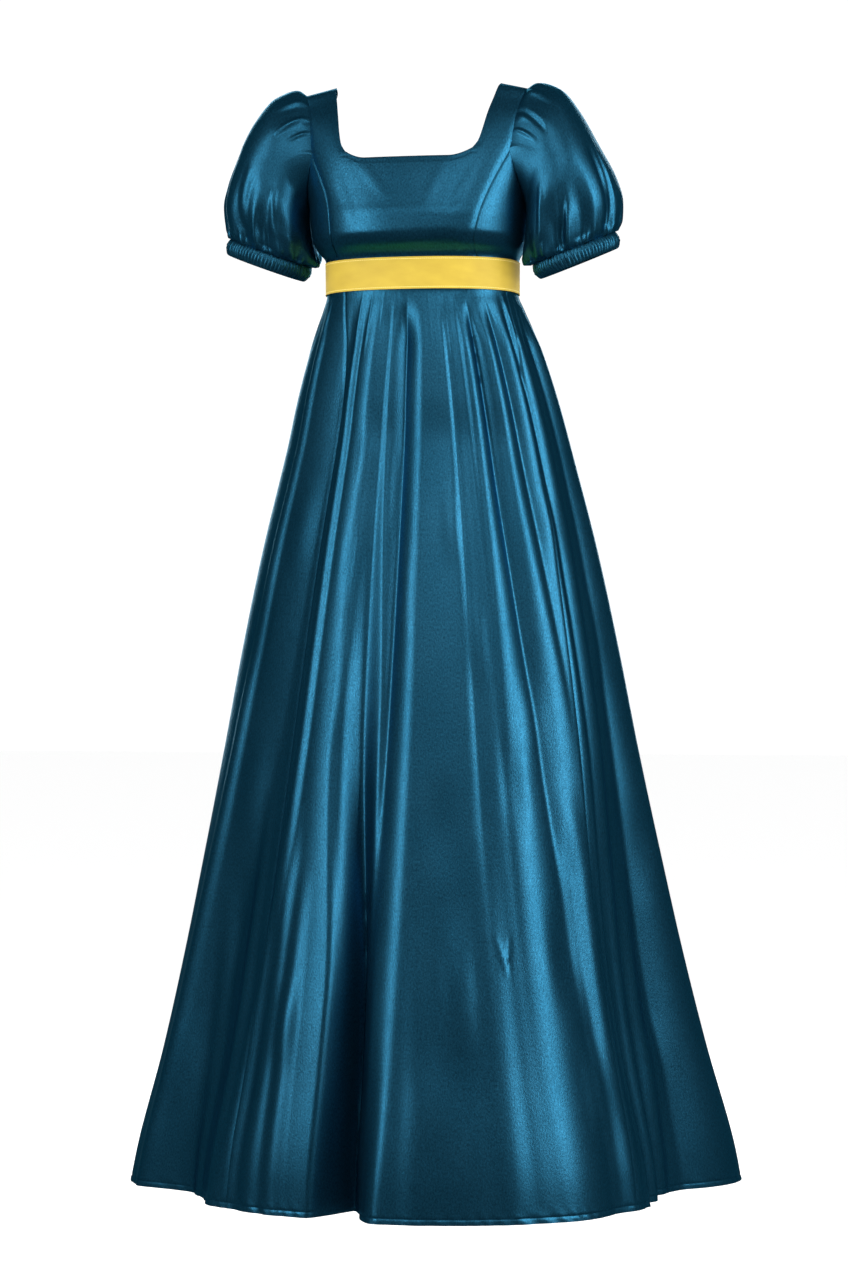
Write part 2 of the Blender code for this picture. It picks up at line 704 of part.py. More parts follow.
def make_bodice_back(name, side, material):
    """Back half from the side seam to the centre back, with a plain low square neck."""
    outer, inner = {}, {}
    last = BACK_SIDE_COLUMNS + STRAP_COLUMNS + BACK_CENTRE_COLUMNS
    for j in range(last + 1):
        column_angle, top = back_column(j, side)
        for i in range(BODICE_ROWS + 1):
            level = level_of(bodice_row(i, top))
            angle = column_angle
            if j == 0:
                angle += trim_angle(bodice_ring, angle, level)
            elif j == last:
                angle -= trim_angle(bodice_ring, angle, level)
            normal = surface_normal(bodice_ring, side * angle, level, 0.5, 0.02)
            outer[i, j] = bodice_ring(side * angle, level)
            inner[i, j] = outer[i, j] - normal * CLOTH
    levels = strap_levels()
    for k, level in enumerate(levels[1:], start=1):
        height = bodice_at("height", level)
        inside = strap_inner_edge(back_neck_at, side, height)
        outside = back_armhole_at("half_width", height) - SEAM_GAP / 2.0 / MM
        for step in range(STRAP_COLUMNS + 1):
            x = side * (outside + (inside - outside) * step / STRAP_COLUMNS)
            point, normal = sheet_point_and_normal(x, level, -1)
            key = (BODICE_ROWS + k, BACK_SIDE_COLUMNS + step)
            outer[key], inner[key] = point, point - normal * CLOTH
            if k == len(levels) - 1:
                inner[key] = shoulder_inner(point, normal)
    strap_range = range(BACK_SIDE_COLUMNS, BACK_SIDE_COLUMNS + STRAP_COLUMNS + 1)
    cells = block_cells(range(BODICE_ROWS + 1), range(last + 1))
    cells += block_cells(range(BODICE_ROWS, BODICE_ROWS + len(levels)), strap_range)
    build_wall(name, outer, inner, cells if side > 0 else flipped(cells), material)


def make_bodice(material):
    make_bodice_front(material)
    for word, side in (("left", -1), ("right", 1)):
        make_bodice_side("bodice_side_front_" + word, side, material)
        make_bodice_back("bodice_back_" + word, side, material)


# ---------------------------------------------------------------- sleeves

def armhole_outline():
    """The right armhole as a closed ring of (turn, point), turn in degrees from the top.

    Its corners are the corners of the bodice pieces, so the sleeve follows their edges.
    """
    levels = strap_levels()
    ring = []
    for level in reversed(levels):
        ring.append(bodice_sheet(front_edge_at("half_width", bodice_at("height", level)), level, 1))
    start = angle_at_x(front_edge_at("half_width", NECK_CORNER), levels[0])
    for j in range(1, SIDE_COLUMNS + 1):
        share = 1.0 - math.cos(math.pi / 2.0 * j / SIDE_COLUMNS)
        height = armhole_curve(share, NECK_CORNER)
        ring.append(bodice_ring(start + (SIDE_SEAM_ANGLE - start) * share, level_of(height)))
    for j in range(1, BACK_SIDE_COLUMNS + 1):
        angle, height = back_column(j, 1)
        ring.append(bodice_ring(angle, level_of(height)))
    for level in levels[1:-1]:
        ring.append(bodice_sheet(back_armhole_at("half_width", bodice_at("height", level)), level, -1))
    centre = place(0.0, SLEEVE_FORWARD, ARMHOLE_MIDDLE)
    turned = []
    for point in ring:
        turn = math.degrees(math.atan2(centre.y - point.y, point.z - centre.z)) % 360.0
        turned.append((turn, point))
    return sorted(turned, key=lambda pair: pair[0])


def sleeve_turns(outline):
    """Turns of the sleeve's columns: every corner of the armhole, and even steps between."""
    turns = []
    for (start, _), (end, _) in zip(outline, outline[1:] + outline[:1]):
        span = (end - start) % 360.0
        steps = max(1, round(span / SLEEVE_COLUMN_STEP))
        turns += [start + span * k / steps for k in range(steps)]
    return turns


def armhole_point(outline, turn):
    turn %= 360.0
    looped = [(outline[-1][0] - 360.0, outline[-1][1])] + outline
    looped.append((outline[0][0] + 360.0, outline[0][1]))
    for (start, first), (end, second) in zip(looped, looped[1:]):
        if start <= turn <= end:
            return first.lerp(second, (turn - start) / (end - start))
    return outline[0][1]


def sleeve_relief(turn, along):
    """Gathers at the sleeve head and hollows above the cuff, in millimetres outwards."""
    total = 0.0
    grown = smoothstep(along / 0.10) * smoothstep((HEAD_GATHER_END - along) / 0.30)
    for centre, rise in HEAD_GATHERS:
        apart = (turn - centre + 180.0) % 360.0 - 180.0
        total += rise * grown * bump(apart / HEAD_GATHER_WIDTH)
    grown = smoothstep((along - CUFF_HOLLOW_START) / 0.35) * smoothstep((1.0 - along) / 0.09)
    for centre, depth in CUFF_HOLLOWS:
        apart = (turn - centre + 180.0) % 360.0 - 180.0
        total -= depth * grown * bump(apart / CUFF_HOLLOW_WIDTH)
    return total


def hung(point, share, word):
    """Lower a point by a share of its sleeve's sag, and tip it by a share of the cuff's nod."""
    reach = (SHOULDER_FORWARD - SLEEVE_FORWARD * MM) - point.y
    drop = SLEEVE_SAG[word] * MM + reach * math.tan(math.radians(CUFF_NOD[word]))
    return point - Vector((0.0, 0.0, drop * share))


def clear_of_bodice(point, gap):
    """Push a point of the sleeve straight out until it stands a gap in mm off the bodice."""
    height = min(-1.0, max(WAIST_Z / MM, point.z / MM))
    level = level_of(height)
    front, back = bodice_at("front", level), bodice_at("back", level)
    x = point.x / MM
    forward = (SHOULDER_FORWARD - point.y) / MM - (front - back) / 2.0
    half_width, squareness = bodice_at("half_width", level), bodice_at("squareness", level)
    reach = math.hypot(x, forward)
    need = oval_radius(math.atan2(x, forward), half_width, (front + back) / 2.0, squareness) + gap
    if reach >= need:
        return point
    grow = 1.0 + (need / reach - 1.0) * smoothstep((-94.0 - height) / 12.0)
    return place(x * grow, forward * grow + (front - back) / 2.0, point.z / MM)


def free_sleeve(turn, along, word):
    """The sleeve's own oval rings, before its head is drawn in to the armhole."""
    outer_end = place(sleeve_at("outer_x", along), SLEEVE_FORWARD, sleeve_at("outer_height", along))
    inner_end = place(sleeve_at("inner_x", along), SLEEVE_FORWARD, sleeve_at("inner_height", along))
    angle = math.radians(turn)
    high = (outer_end - inner_end).length / 2.0 / MM
    deep = sleeve_at("half_depth", along)
    radius = oval_radius(angle, deep, high, sleeve_at("squareness", along))
    radius = (radius + sleeve_relief(turn, along)) * MM
    up = (outer_end - inner_end).normalized()
    free = (outer_end + inner_end) / 2.0 + up * radius * math.cos(angle)
    free.y -= radius * math.sin(angle)
    free.x -= SLEEVE_SLACK[word] * MM * bump((along - 0.42) / 0.40) * max(0.0, math.cos(angle))
    return hung(free, smoothstep((along - 0.3) / 0.7), word)


def sleeve_surface(outline, turn, along, word):
    """Outer face of the right sleeve; turn runs from the top over the front and back."""
    free, start = free_sleeve(turn, along, word), free_sleeve(turn, 0.0, word)
    sewn = armhole_point(outline, turn) + Vector((ARMHOLE_GAP, 0.0, 0.0))
    point = free + (sewn - start) * (1.0 - smoothstep(along / HEAD_BLEND))
    return clear_of_bodice(point, 0.6 + 1.4 * smoothstep(along / 0.12))


def make_sleeve(word, side, material):
    outline = armhole_outline()
    turns = sleeve_turns(outline)

    def surface(turn, along):
        return sleeve_surface(outline, turn, along, word)

    def mirrored(point):
        return Vector((point.x * side, point.y, point.z))

    outer, inner = {}, {}
    for i, along in enumerate(SLEEVE_RINGS):
        for j, turn in enumerate(turns):
            reading = min(0.985, max(0.02, along))
            normal = surface_normal(surface, turn, reading, 1.5, 0.01)
            point = surface(turn, along)
            outer[i, j] = mirrored(point)
            inner[i, j] = mirrored(point - normal * CLOTH)
    cells = block_cells(range(len(SLEEVE_RINGS)), range(len(turns)), closed=True)
    build_wall("sleeve_" + word, outer, inner, cells if side > 0 else flipped(cells), material)


def make_cuff(word, side, material):
    lean = math.radians(CUFF_TURN)
    across = Vector((math.sin(lean), 0.0, math.cos(lean)))
    down = Vector((math.cos(lean), 0.0, -math.sin(lean)))
    top = place(CUFF_TOP[0], SLEEVE_FORWARD, CUFF_TOP[1])
    columns = 2 * CUFF_RIBS
    outer, inner = {}, {}
    for i, row in enumerate(CUFF_ROWS):
        record = dict(zip(CUFF_ROW_COLUMNS, row))
        centre = top + down * (record["down"] * CUFF_DEPTH * MM)
        for j in range(columns):
            angle = 2.0 * math.pi * j / columns
            spoke = across * math.cos(angle) - Vector((0.0, math.sin(angle), 0.0))
            rib = CUFF_RIB_RISE * record["rib_share"] * (j % 2)
            for sheet, radius in ((outer, record["radius"] + rib), (inner, record["radius"] - CUFF_WALL)):
                point = hung(centre + spoke * (radius * MM), 1.0, word)
                sheet[i, j] = Vector((point.x * side, point.y, point.z))
    cells = block_cells(range(len(CUFF_ROWS)), range(columns), closed=True)
    build_wall("cuff_" + word, outer, inner, cells if side > 0 else flipped(cells), material)


# ---------------------------------------------------------------- ribbon

RIBBON_COLUMN_COUNT = 64
RIBBON_CLEARANCE = 0.5 * MM


def waist_surface(angle, height):
    """Outer face of the gown just above and below the waist seam."""
    if height > WAIST_Z / MM:
        return bodice_ring(angle, level_of(height))
    return skirt_surface(angle, height)


def make_ribbon(material):
    """One 40 mm ribbon round the waist seam, laid over it, its ends meeting at the back."""
    outer, inner = {}, {}
    half = RIBBON_WIDTH / 2.0 / MM
    heights = [WAIST_Z / MM + half * (share - 1.0) for share in (0.0, 1.0, 2.0)]
    end_trim = 0.15
    for i, height in enumerate(heights):
        for j in range(RIBBON_COLUMN_COUNT + 1):
            angle = -180.0 + end_trim + (360.0 - 2.0 * end_trim) * j / RIBBON_COLUMN_COUNT
            normal = surface_normal(waist_surface, angle, height, 0.5, 1.0)
            normal.z = 0.0
            normal.normalize()
            base = waist_surface(angle, height)
            inner[i, j] = base + normal * RIBBON_CLEARANCE
            outer[i, j] = base + normal * (RIBBON_CLEARANCE + RIBBON_THICKNESS)
    cells = block_cells(range(len(heights)), range(RIBBON_COLUMN_COUNT + 1))
    build_wall("ribbon", outer, inner, cells, material)


def main():
    clear_scene()
    satin = fabric_material("satin", SATIN, 0.36, 0.35)
    cuff_satin = fabric_material("cuff_satin", CUFF_SATIN, 0.42, 0.30)
    yellow = fabric_material("ribbon_yellow", YELLOW, 0.55, 0.0)
    make_bodice(satin)
    for word, side in (("left", -1), ("right", 1)):
        make_sleeve(word, side, satin)
        make_cuff(word, side, cuff_satin)
    make_ribbon(yellow)
    make_skirt(satin)


main()
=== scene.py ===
"""Regency gown: satin cloth, shirred cuffs and ribbon, filled out as when worn.

Each piece of cloth is a thin shell on the form of the solid that it stands for. Its surface is
worked out from the same sizes as the solid, at a finer step, with the smaller folds laid over.
Heights in the tables are millimetres from the shoulder tops. "Forward" is measured towards the
front, from SHOULDER_FORWARD behind the shoulder tops.
"""

import math

import bpy
import numpy as np
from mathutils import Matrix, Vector


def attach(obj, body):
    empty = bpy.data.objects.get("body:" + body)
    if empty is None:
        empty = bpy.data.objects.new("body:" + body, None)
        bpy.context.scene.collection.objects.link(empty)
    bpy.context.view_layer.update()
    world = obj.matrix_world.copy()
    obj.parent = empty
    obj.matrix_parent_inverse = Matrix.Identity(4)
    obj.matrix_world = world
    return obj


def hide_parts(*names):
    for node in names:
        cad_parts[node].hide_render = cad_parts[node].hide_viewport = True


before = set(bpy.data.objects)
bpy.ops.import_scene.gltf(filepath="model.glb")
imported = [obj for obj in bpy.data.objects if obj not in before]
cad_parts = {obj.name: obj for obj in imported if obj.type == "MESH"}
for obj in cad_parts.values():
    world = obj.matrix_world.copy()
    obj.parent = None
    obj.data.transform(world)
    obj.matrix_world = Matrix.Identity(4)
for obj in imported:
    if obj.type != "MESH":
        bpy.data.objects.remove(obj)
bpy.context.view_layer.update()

MM = 0.001

# Driving sizes, in metres.
HEM_Z = -1.397
WAIST_Z = -0.242
RIBBON_WIDTH = 0.040
SHOULDER_FORWARD = 0.036
SEAM_GAP = 0.3 * MM
CLOTH_THICKNESS = 0.6 * MM
CUFF_THICKNESS = 1.5 * MM

# The same levels in the tables' millimetres, and where the cloth beside the waist seam ends.
HEM = HEM_Z / MM
WAIST = WAIST_Z / MM
BODICE_FOOT = (WAIST_Z + SEAM_GAP / 2.0) / MM
SKIRT_TOP = (WAIST_Z - SEAM_GAP / 2.0) / MM
RIBBON_FOOT = (WAIST_Z - RIBBON_WIDTH / 2.0) / MM

# How deep cloth is drawn in along a seam, an edge or a stitched line, and how far to each
# side that reaches, in millimetres.
SKIRT_SEAM_DIP = (0.8, 2.2)
FRONT_SEAM_DIP = (0.9, 2.0)
SIDE_SEAM_DIP = (0.8, 2.0)
CENTRE_BACK_DIP = (0.7, 1.8)
ARMHOLE_DIP = (0.5, 1.5)
NECK_DIP = (0.5, 1.2)
HEM_STITCH_DIP = (0.7, 1.3)

# The bodice, in sections from the waist seam up to the shoulder seam. "squareness" is the
# power of the oval: 2 is an ellipse, and more is boxier.
BODICE_COLUMNS = ("height", "half_width", "front", "back", "squareness")
BODICE_SECTIONS = (
    (-242.0, 122.0, 90.0, 86.0, 2.35),
    (-220.0, 122.8, 91.5, 86.3, 2.35),
    (-206.0, 131.5, 112.0, 87.3, 2.35),
    (-191.0, 136.5, 121.5, 88.5, 2.35),
    (-172.0, 138.5, 121.5, 89.0, 2.40),
    (-154.0, 140.0, 118.5, 89.0, 2.45),
    (-124.0, 146.0, 111.5, 87.0, 2.55),
    (-96.0, 153.0, 103.0, 81.0, 2.60),
    (-68.0, 160.0, 91.0, 64.0, 2.60),
    (-42.0, 168.0, 76.0, 38.0, 2.60),
    (-20.0, 176.0, 58.5, 6.0, 2.60),
    (-4.0, 180.0, 46.5, -18.0, 2.60),
    (0.0, 182.0, 36.2, -35.8, 2.60),
)

# The skirt ring from the waist seam down to the hem, before its folds.
SKIRT_COLUMNS = ("height", "half_width", "half_depth", "forward", "sideways", "squareness")
SKIRT_SECTIONS = (
    (-242.0, 122.0, 88.0, 2.0, 0.0, 2.35),
    (-262.0, 121.5, 88.0, 1.0, 0.0, 2.35),
    (-281.0, 127.0, 93.0, -1.0, 0.5, 2.33),
    (-299.0, 134.0, 99.0, -4.0, 0.5, 2.30),
    (-331.0, 146.0, 110.0, -9.0, 1.0, 2.28),
    (-394.0, 165.0, 128.0, -19.0, 1.0, 2.25),
    (-458.0, 181.0, 144.0, -28.0, 1.0, 2.22),
    (-585.0, 213.0, 176.0, -33.0, 1.0, 2.18),
    (-712.0, 240.0, 205.0, -36.0, 1.0, 2.14),
    (-839.0, 264.0, 233.0, -40.0, 1.0, 2.12),
    (-966.0, 289.0, 262.0, -45.0, 1.0, 2.10),
    (-1093.0, 315.0, 293.0, -52.0, 1.0, 2.10),
    (-1220.0, 345.0, 328.0, -62.0, 1.0, 2.08),
    (-1347.0, 380.0, 368.0, -74.0, 0.5, 2.06),
    (-1397.0, 390.5, 378.0, -78.0, 0.0, 2.05),
)

# The gathers that run down from the ribbon: angle at the waist and low down, half the ridge's
# breadth in degrees, its rise, and the height where it would die out on stiffer cloth.
FRONT_GATHERS = (
    (-93.0, -84.0, 7.0, 5.0, -1000.0),
    (-46.0, -41.0, 5.0, 4.0, -780.0),
    (-35.0, -32.0, 4.5, 4.5, -1500.0),
    (-23.0, -17.0, 5.5, 6.5, -1500.0),
    (-12.0, -5.0, 5.0, 4.5, -1120.0),
    (12.0, 4.0, 6.0, 5.5, -1250.0),
    (24.0, 24.0, 5.5, 5.0, -1200.0),
    (32.0, 31.0, 4.0, 3.5, -1150.0),
    (40.0, 38.0, 4.0, 6.5, -1500.0),
    (49.0, 52.0, 5.0, 6.0, -1150.0),
    (60.0, 58.0, 4.0, 4.5, -800.0),
    (68.0, 78.0, 5.0, 4.5, -850.0),
    (90.0, 97.0, 6.0, 4.5, -700.0),
)
BACK_GATHERS = 15
BACK_GATHER_START = 104.0
BACK_GATHER_STEP = 10.6

# The skirt's seams: angle of each at the waist, just below it, and at the hem.
SKIRT_SEAMS = {
    "front left": (-53.0, -37.0, -35.0),
    "front right": (74.0, 63.0, 56.0),
    "back right": (122.0, 120.0, 124.0),
    "centre back": (180.0, 180.0, 180.0),
    "back left": (238.0, 240.0, 236.0),
}
SEAM_HIP = -420.0
# The skirt's panels: the seams that each lies between, a whole turn where it ends past the
# front, its columns of points, and its cut size and area in metres.
SKIRT_PANELS = (
    ("skirt_front", "front left", "front right", 0.0, 180, (0.66, 1.20), 0.50),
    ("skirt_side_right", "front right", "back right", 0.0, 115, (0.46, 1.20), 0.33),
    ("skirt_back_right", "back right", "centre back", 0.0, 105, (0.42, 1.20), 0.30),
    ("skirt_back_left", "centre back", "back left", 0.0, 105, (0.44, 1.20), 0.31),
    ("skirt_side_left", "back left", "front left", 360.0, 125, (0.60, 1.20), 0.45),
)
# Cut sizes and areas of the other sheets, in metres. None: the whole oblong is used.
FLAT_SIZES = {
    "bodice_front": ((0.30, 0.27), 0.045),
    "bodice_side_front": ((0.13, 0.17), 0.013),
    "bodice_back": ((0.22, 0.27), 0.030),
    "sleeve": ((0.46, 0.24), 0.078),
    "cuff": ((0.46, 0.021), None),
    "ribbon": ((0.70, 0.04), None),
}

# Edges of the bodice, as half-widths by height. The front's outer edge is the princess seam
# below and the armhole above.
FRONT_EDGE = (
    (-242.0, 89.5),
    (-204.0, 91.5),
    (-166.0, 97.0),
    (-144.0, 103.0),
    (-121.0, 112.5),
    (-100.0, 122.5),
    (-82.0, 130.0),
    (-54.0, 133.0),
    (-20.0, 139.0),
    (0.0, 146.0),
)
FRONT_NECK_EDGE = (
    (-88.0, 79.5),
    (-79.0, 85.5),
    (-64.0, 89.5),
    (-41.0, 94.0),
    (0.0, 104.0),
)
BACK_NECK_EDGE = (
    (-88.0, 114.0),
    (-79.0, 119.0),
    (-54.0, 121.0),
    (-20.0, 116.0),
    (0.0, 104.0),
)
BACK_ARMHOLE_EDGE = (
    (-100.0, 137.0),
    (-88.0, 137.5),
    (-54.0, 139.0),
    (-20.0, 142.0),
    (0.0, 146.0),
)
NECK_CORNER = -88.0
# The front's princess seams swing a little to one side as they near the waist.
SEAM_SWING = -7.0
SEAM_SWING_START = -130.0
NECK_BOTTOM = -98.0
NECK_ROUNDING = 0.34
NECK_POWER = 2.2
# The right-hand strap stands a little further out than the left-hand one.
RIGHT_STRAP_SHIFT = 4.0
BACK_ARMHOLE_FOOT = -100.0
UNDERARM = -154.0
ARMHOLE_MIDDLE = -82.0
SIDE_SEAM_ANGLE = 98.0
# The shoulders slope down from the straps' inner edges outwards.
STRAP_INSIDE = 104.0
SHOULDER_DROP = 0.23

# The right sleeve from the armhole to the cuff, in rings: where each ring's outer and inner
# ends lie, its half-size from front to back, and its squareness. The left sleeve mirrors it.
SLEEVE_COLUMNS = (
    "along", "outer_x", "outer_height", "inner_x", "inner_height", "half_depth", "squareness",
)
SLEEVE_SECTIONS = (
    (0.00, 146.0, -9.0, 139.3, -154.0, 62.0, 2.0),
    (0.12, 162.0, 0.0, 140.5, -161.0, 66.0, 2.1),
    (0.25, 186.0, -8.0, 140.0, -172.0, 70.0, 2.2),
    (0.40, 213.0, -38.0, 138.5, -185.0, 74.0, 2.3),
    (0.55, 233.5, -78.0, 137.0, -197.0, 77.0, 2.4),
    (0.70, 250.5, -118.0, 134.5, -208.0, 75.0, 2.4),
    (0.82, 256.5, -145.0, 133.0, -216.0, 70.0, 2.3),
    (0.93, 254.0, -171.0, 136.5, -223.0, 63.0, 2.1),
    (1.00, 247.6, -184.8, 145.5, -223.1, 54.5, 2.0),
)
SLEEVE_FORWARD = 10.0
# How the sleeves differ, by their side: -1 is the left-hand one, at -X, and 1 the right-hand
# one. The right one has sunk in a little at its outer shoulder.
SLEEVE_SLACK = {-1: 0.0, 1: 8.0}
# It hangs a little lower too.
SLEEVE_SAG = {-1: 0.0, 1: 3.5}
# Where along the sleeve that slack lies and how far it reaches, and where the sag starts.
SLACK_MIDDLE = 0.42
SLACK_REACH = 0.40
HANG_START = 0.3
# The sleeve is sewn this far inside the armhole, and a hair in from its front and back.
SEWN_INSIDE = 5.0 * MM
SEWN_IN = 0.9 * MM
# Below this height the sleeve is pushed clear of the bodice, fully so after a short run. It
# stands this far off at the seam, and further once it has left it.
PUSH_TOP = -94.0
PUSH_RUN = 12.0
SEAM_CLEARANCE = 0.6
ADDED_CLEARANCE = 1.4
CLEARANCE_RUN = 0.12
HEAD_BLEND = 0.30
HEAD_GATHERS = ((-58.0, 3.0), (-34.0, 4.0), (-12.0, 3.5), (12.0, 4.0), (36.0, 3.5), (60.0, 2.5))
HEAD_GATHER_WIDTH = 9.0
HEAD_GATHER_END = 0.42
HEAD_SHARE = 0.42
HEAD_GROWTH = 0.10
HEAD_FADING = 0.30
# Hollows that the cuff's gathers draw into the sleeve: turn in degrees, and depth.
CUFF_HOLLOWS = (
    (27.0, 8.0), (68.0, 6.5), (98.0, 8.0), (140.0, 6.0),
    (192.0, 6.0), (228.0, 7.5), (268.0, 6.5), (318.0, 7.0),
)
CUFF_HOLLOW_WIDTH = 17.0
CUFF_HOLLOW_START = 0.48
CUFF_HOLLOW_GROWTH = 0.35
CUFF_HOLLOW_FADING = 0.09
# How far each cuff nods: its front edge hangs lower than its back edge.
CUFF_NOD = {-1: 3.0, 1: 9.0}
# The gathers above each cuff, with finer ones right beside it.
CUFF_GATHERS = 22
FINE_GATHER_START = 0.93
FINE_GATHER_RISE = 0.45

# The shirred cuffs.
CUFF_RIBS = 72
CUFF_RIB_RISE = 0.9
CUFF_TOP = (196.7, -204.4)
CUFF_TURN = 69.4
CUFF_DEPTH = 19.0
CUFF_ROW_COLUMNS = ("down", "radius", "rib_share")
CUFF_ROWS = (
    (0.00, 53.6, 0.35),
    (0.45, 54.6, 1.00),
    (1.00, 51.2, 0.45),
)


# ---------------------------------------------------------------- reading the tables

def smoothstep(value):
    value = np.clip(value, 0.0, 1.0)
    return value * value * (3.0 - 2.0 * value)


def bump(apart):
    """A rounded bump: 1 in the middle, 0 from a distance of 1 outwards."""
    return 0.5 + 0.5 * np.cos(np.pi * np.minimum(1.0, np.abs(apart)))


def valley(distance, depth, reach):
    """How deep a soft valley lies at a distance from its line."""
    return depth * np.exp(-((distance / reach) ** 2))


def turned_apart(angle, centre):
    """Signed difference of two angles in degrees, between -180 and 180."""
    return (angle - centre + 180.0) % 360.0 - 180.0


def along_line(across, up, run, drop):
    """Share of the way along a line and distance from it, for places measured from its start."""
    share = np.clip((across * run + up * drop) / (run * run + drop * drop), 0.0, 1.0)
    return share, np.hypot(across - run * share, up - drop * share)


def ridges(turn, along, rows, power):
    """Ridges that swell from nothing at their start and die away at their end.

    Each row gives where the ridge starts (turn, place along) and ends, half its breadth in
    degrees and its rise, which is negative for a trough.
    """
    total = np.zeros_like(turn)
    for start_turn, start, end_turn, end, width, rise in rows:
        share = (along - start) / (end - start)
        centre = start_turn + (end_turn - start_turn) * share
        window = np.sin(np.pi * np.clip(share, 0.0, 1.0)) ** power
        total += rise * window * bump(turned_apart(turn, centre) / width)
    return total


def smooth_reading(stations, values, at):
    """Read a smooth curve through (station, value) pairs that never overshoots them."""
    stations, values = np.asarray(stations, float), np.asarray(values, float)
    spans = np.diff(stations)
    slopes = np.diff(values) / spans
    before, after = slopes[:-1], slopes[1:]
    turning = before * after <= 0.0
    total = np.where(turning, 1.0, before + after)
    inner = np.where(turning, 0.0, 2.0 * before * after / total)
    tangents = np.concatenate([slopes[:1], inner, slopes[-1:]])
    at = np.clip(at, stations[0], stations[-1])
    index = np.clip(np.searchsorted(stations, at, side="right") - 1, 0, len(spans) - 1)
    span = spans[index]
    t = (at - stations[index]) / span
    return (
        values[index] * (1.0 + 2.0 * t) * (1.0 - t) ** 2
        + tangents[index] * span * t * (1.0 - t) ** 2
        + values[index + 1] * t * t * (3.0 - 2.0 * t)
        + tangents[index + 1] * span * t * t * (t - 1.0)
    )


def table_reader(rows, columns):
    """A function that reads any column of a table at any value of its first column."""
    order = sorted(rows)
    stations = [row[0] for row in order]

    def read(column, at):
        return smooth_reading(stations, [row[columns.index(column)] for row in order], at)

    return read


def edge_reader(rows):
    """A function that reads an edge's half-width at any height."""
    heights, half_widths = zip(*sorted(rows))
    return lambda height: smooth_reading(heights, half_widths, height)


skirt_at = table_reader(SKIRT_SECTIONS, SKIRT_COLUMNS)
sleeve_at = table_reader(SLEEVE_SECTIONS, SLEEVE_COLUMNS)
cuff_at = table_reader(CUFF_ROWS, CUFF_ROW_COLUMNS)
front_edge_at = edge_reader(FRONT_EDGE)
front_neck_at = edge_reader(FRONT_NECK_EDGE)
back_neck_at = edge_reader(BACK_NECK_EDGE)
back_armhole_at = edge_reader(BACK_ARMHOLE_EDGE)


def bodice_at(column, level):
    """Read the bodice table at a level, which counts sections up from the waist seam."""
    values = [row[BODICE_COLUMNS.index(column)] for row in BODICE_SECTIONS]
    return smooth_reading(range(len(values)), values, level)


TOP_LEVEL = len(BODICE_SECTIONS) - 1.0
LEVEL_COUNT = 2401
DENSE_LEVELS = np.linspace(0.0, TOP_LEVEL, LEVEL_COUNT)
DENSE_HEIGHTS = bodice_at("height", DENSE_LEVELS)


def level_of(height):
    return np.interp(height, DENSE_HEIGHTS, DENSE_LEVELS)


def place(x, forward, height):
    """Points in metres from table millimetres."""
    x, forward, height = np.broadcast_arrays(x, forward, height)
    return np.stack([x * MM, SHOULDER_FORWARD - forward * MM, height * MM], axis=-1)


def oval_radius(angle, half_width, half_depth, squareness):
    sine, cosine = np.abs(np.sin(angle)), np.abs(np.cos(angle))
    total = (sine / half_width) ** squareness + (cosine / half_depth) ** squareness
    return total ** (-1.0 / squareness)


# ---------------------------------------------------------------- walls of cloth

def numbered(grid):
    """A number for each point of a grid, row by row."""
    return np.arange(grid.size).reshape(grid.shape)


def grid_cells(index, closed=False):
    """Quads between the points of a grid of numbers, with rows up and columns to the right."""
    if closed:
        index = np.concatenate([index, index[:, :1]], axis=1)
    corners = (index[:-1, :-1], index[:-1, 1:], index[1:, 1:], index[1:, :-1])
    return np.stack([corner.ravel() for corner in corners], axis=1)


def spread_between(first, last, share):
    """Rows of values from one edge to the other, at each share of the way across."""
    return first[:, None] + (last - first)[:, None] * share[None, :]


def surface_normals(surface, first, second, steps):
    """Outward directions of a surface, read a small step to each side in both directions."""
    along = surface(first + steps[0], second) - surface(first - steps[0], second)
    across = surface(first, second + steps[1]) - surface(first, second - steps[1])
    normals = np.cross(along, across)
    return normals / np.linalg.norm(normals, axis=-1, keepdims=True)


def drawn_in(points, normals, depth):
    """Points moved inwards by a depth in millimetres."""
    return points - normals * (depth * MM)[..., None]


SHARP_ANGLE = math.radians(48.0)


def cloth_wall(node, outer, normals, cells, chart, material, mirrored=False,
               thickness=CLOTH_THICKNESS):
    """Make one closed wall: an outer sheet, an inner sheet and rims along open edges.

    chart holds each point's place on the flat cloth, in metres, for the weave to follow.
    """
    outer, normals = outer.reshape(-1, 3).copy(), normals.reshape(-1, 3).copy()
    chart = chart.reshape(-1, 2)
    if mirrored:
        outer[:, 0] *= -1.0
        normals[:, 0] *= -1.0
        cells = cells[:, ::-1]
    count = len(outer)
    points = np.concatenate([outer, outer - normals * thickness])
    starts, ends = cells.ravel(), np.roll(cells, -1, axis=1).ravel()
    open_edge = ~np.isin(starts * count + ends, ends * count + starts)
    start, end = starts[open_edge], ends[open_edge]
    rims = np.stack([end, start, start + count, end + count], axis=1)
    faces = np.concatenate([cells, cells[:, ::-1] + count, rims])
    mesh = bpy.data.meshes.new(node + "_cloth")
    mesh.from_pydata(points.tolist(), [], faces.tolist())
    spread = np.concatenate([chart, chart])[faces.ravel()]
    layer = mesh.uv_layers.new(name="cloth")
    layer.data.foreach_set("uv", spread.astype(np.float32).ravel())
    mesh.materials.append(material)
    mesh.shade_smooth()
    mesh.set_sharp_from_angle(angle=SHARP_ANGLE)
    piece = bpy.data.objects.new(node + "_cloth", mesh)
    bpy.context.scene.collection.objects.link(piece)
    return piece


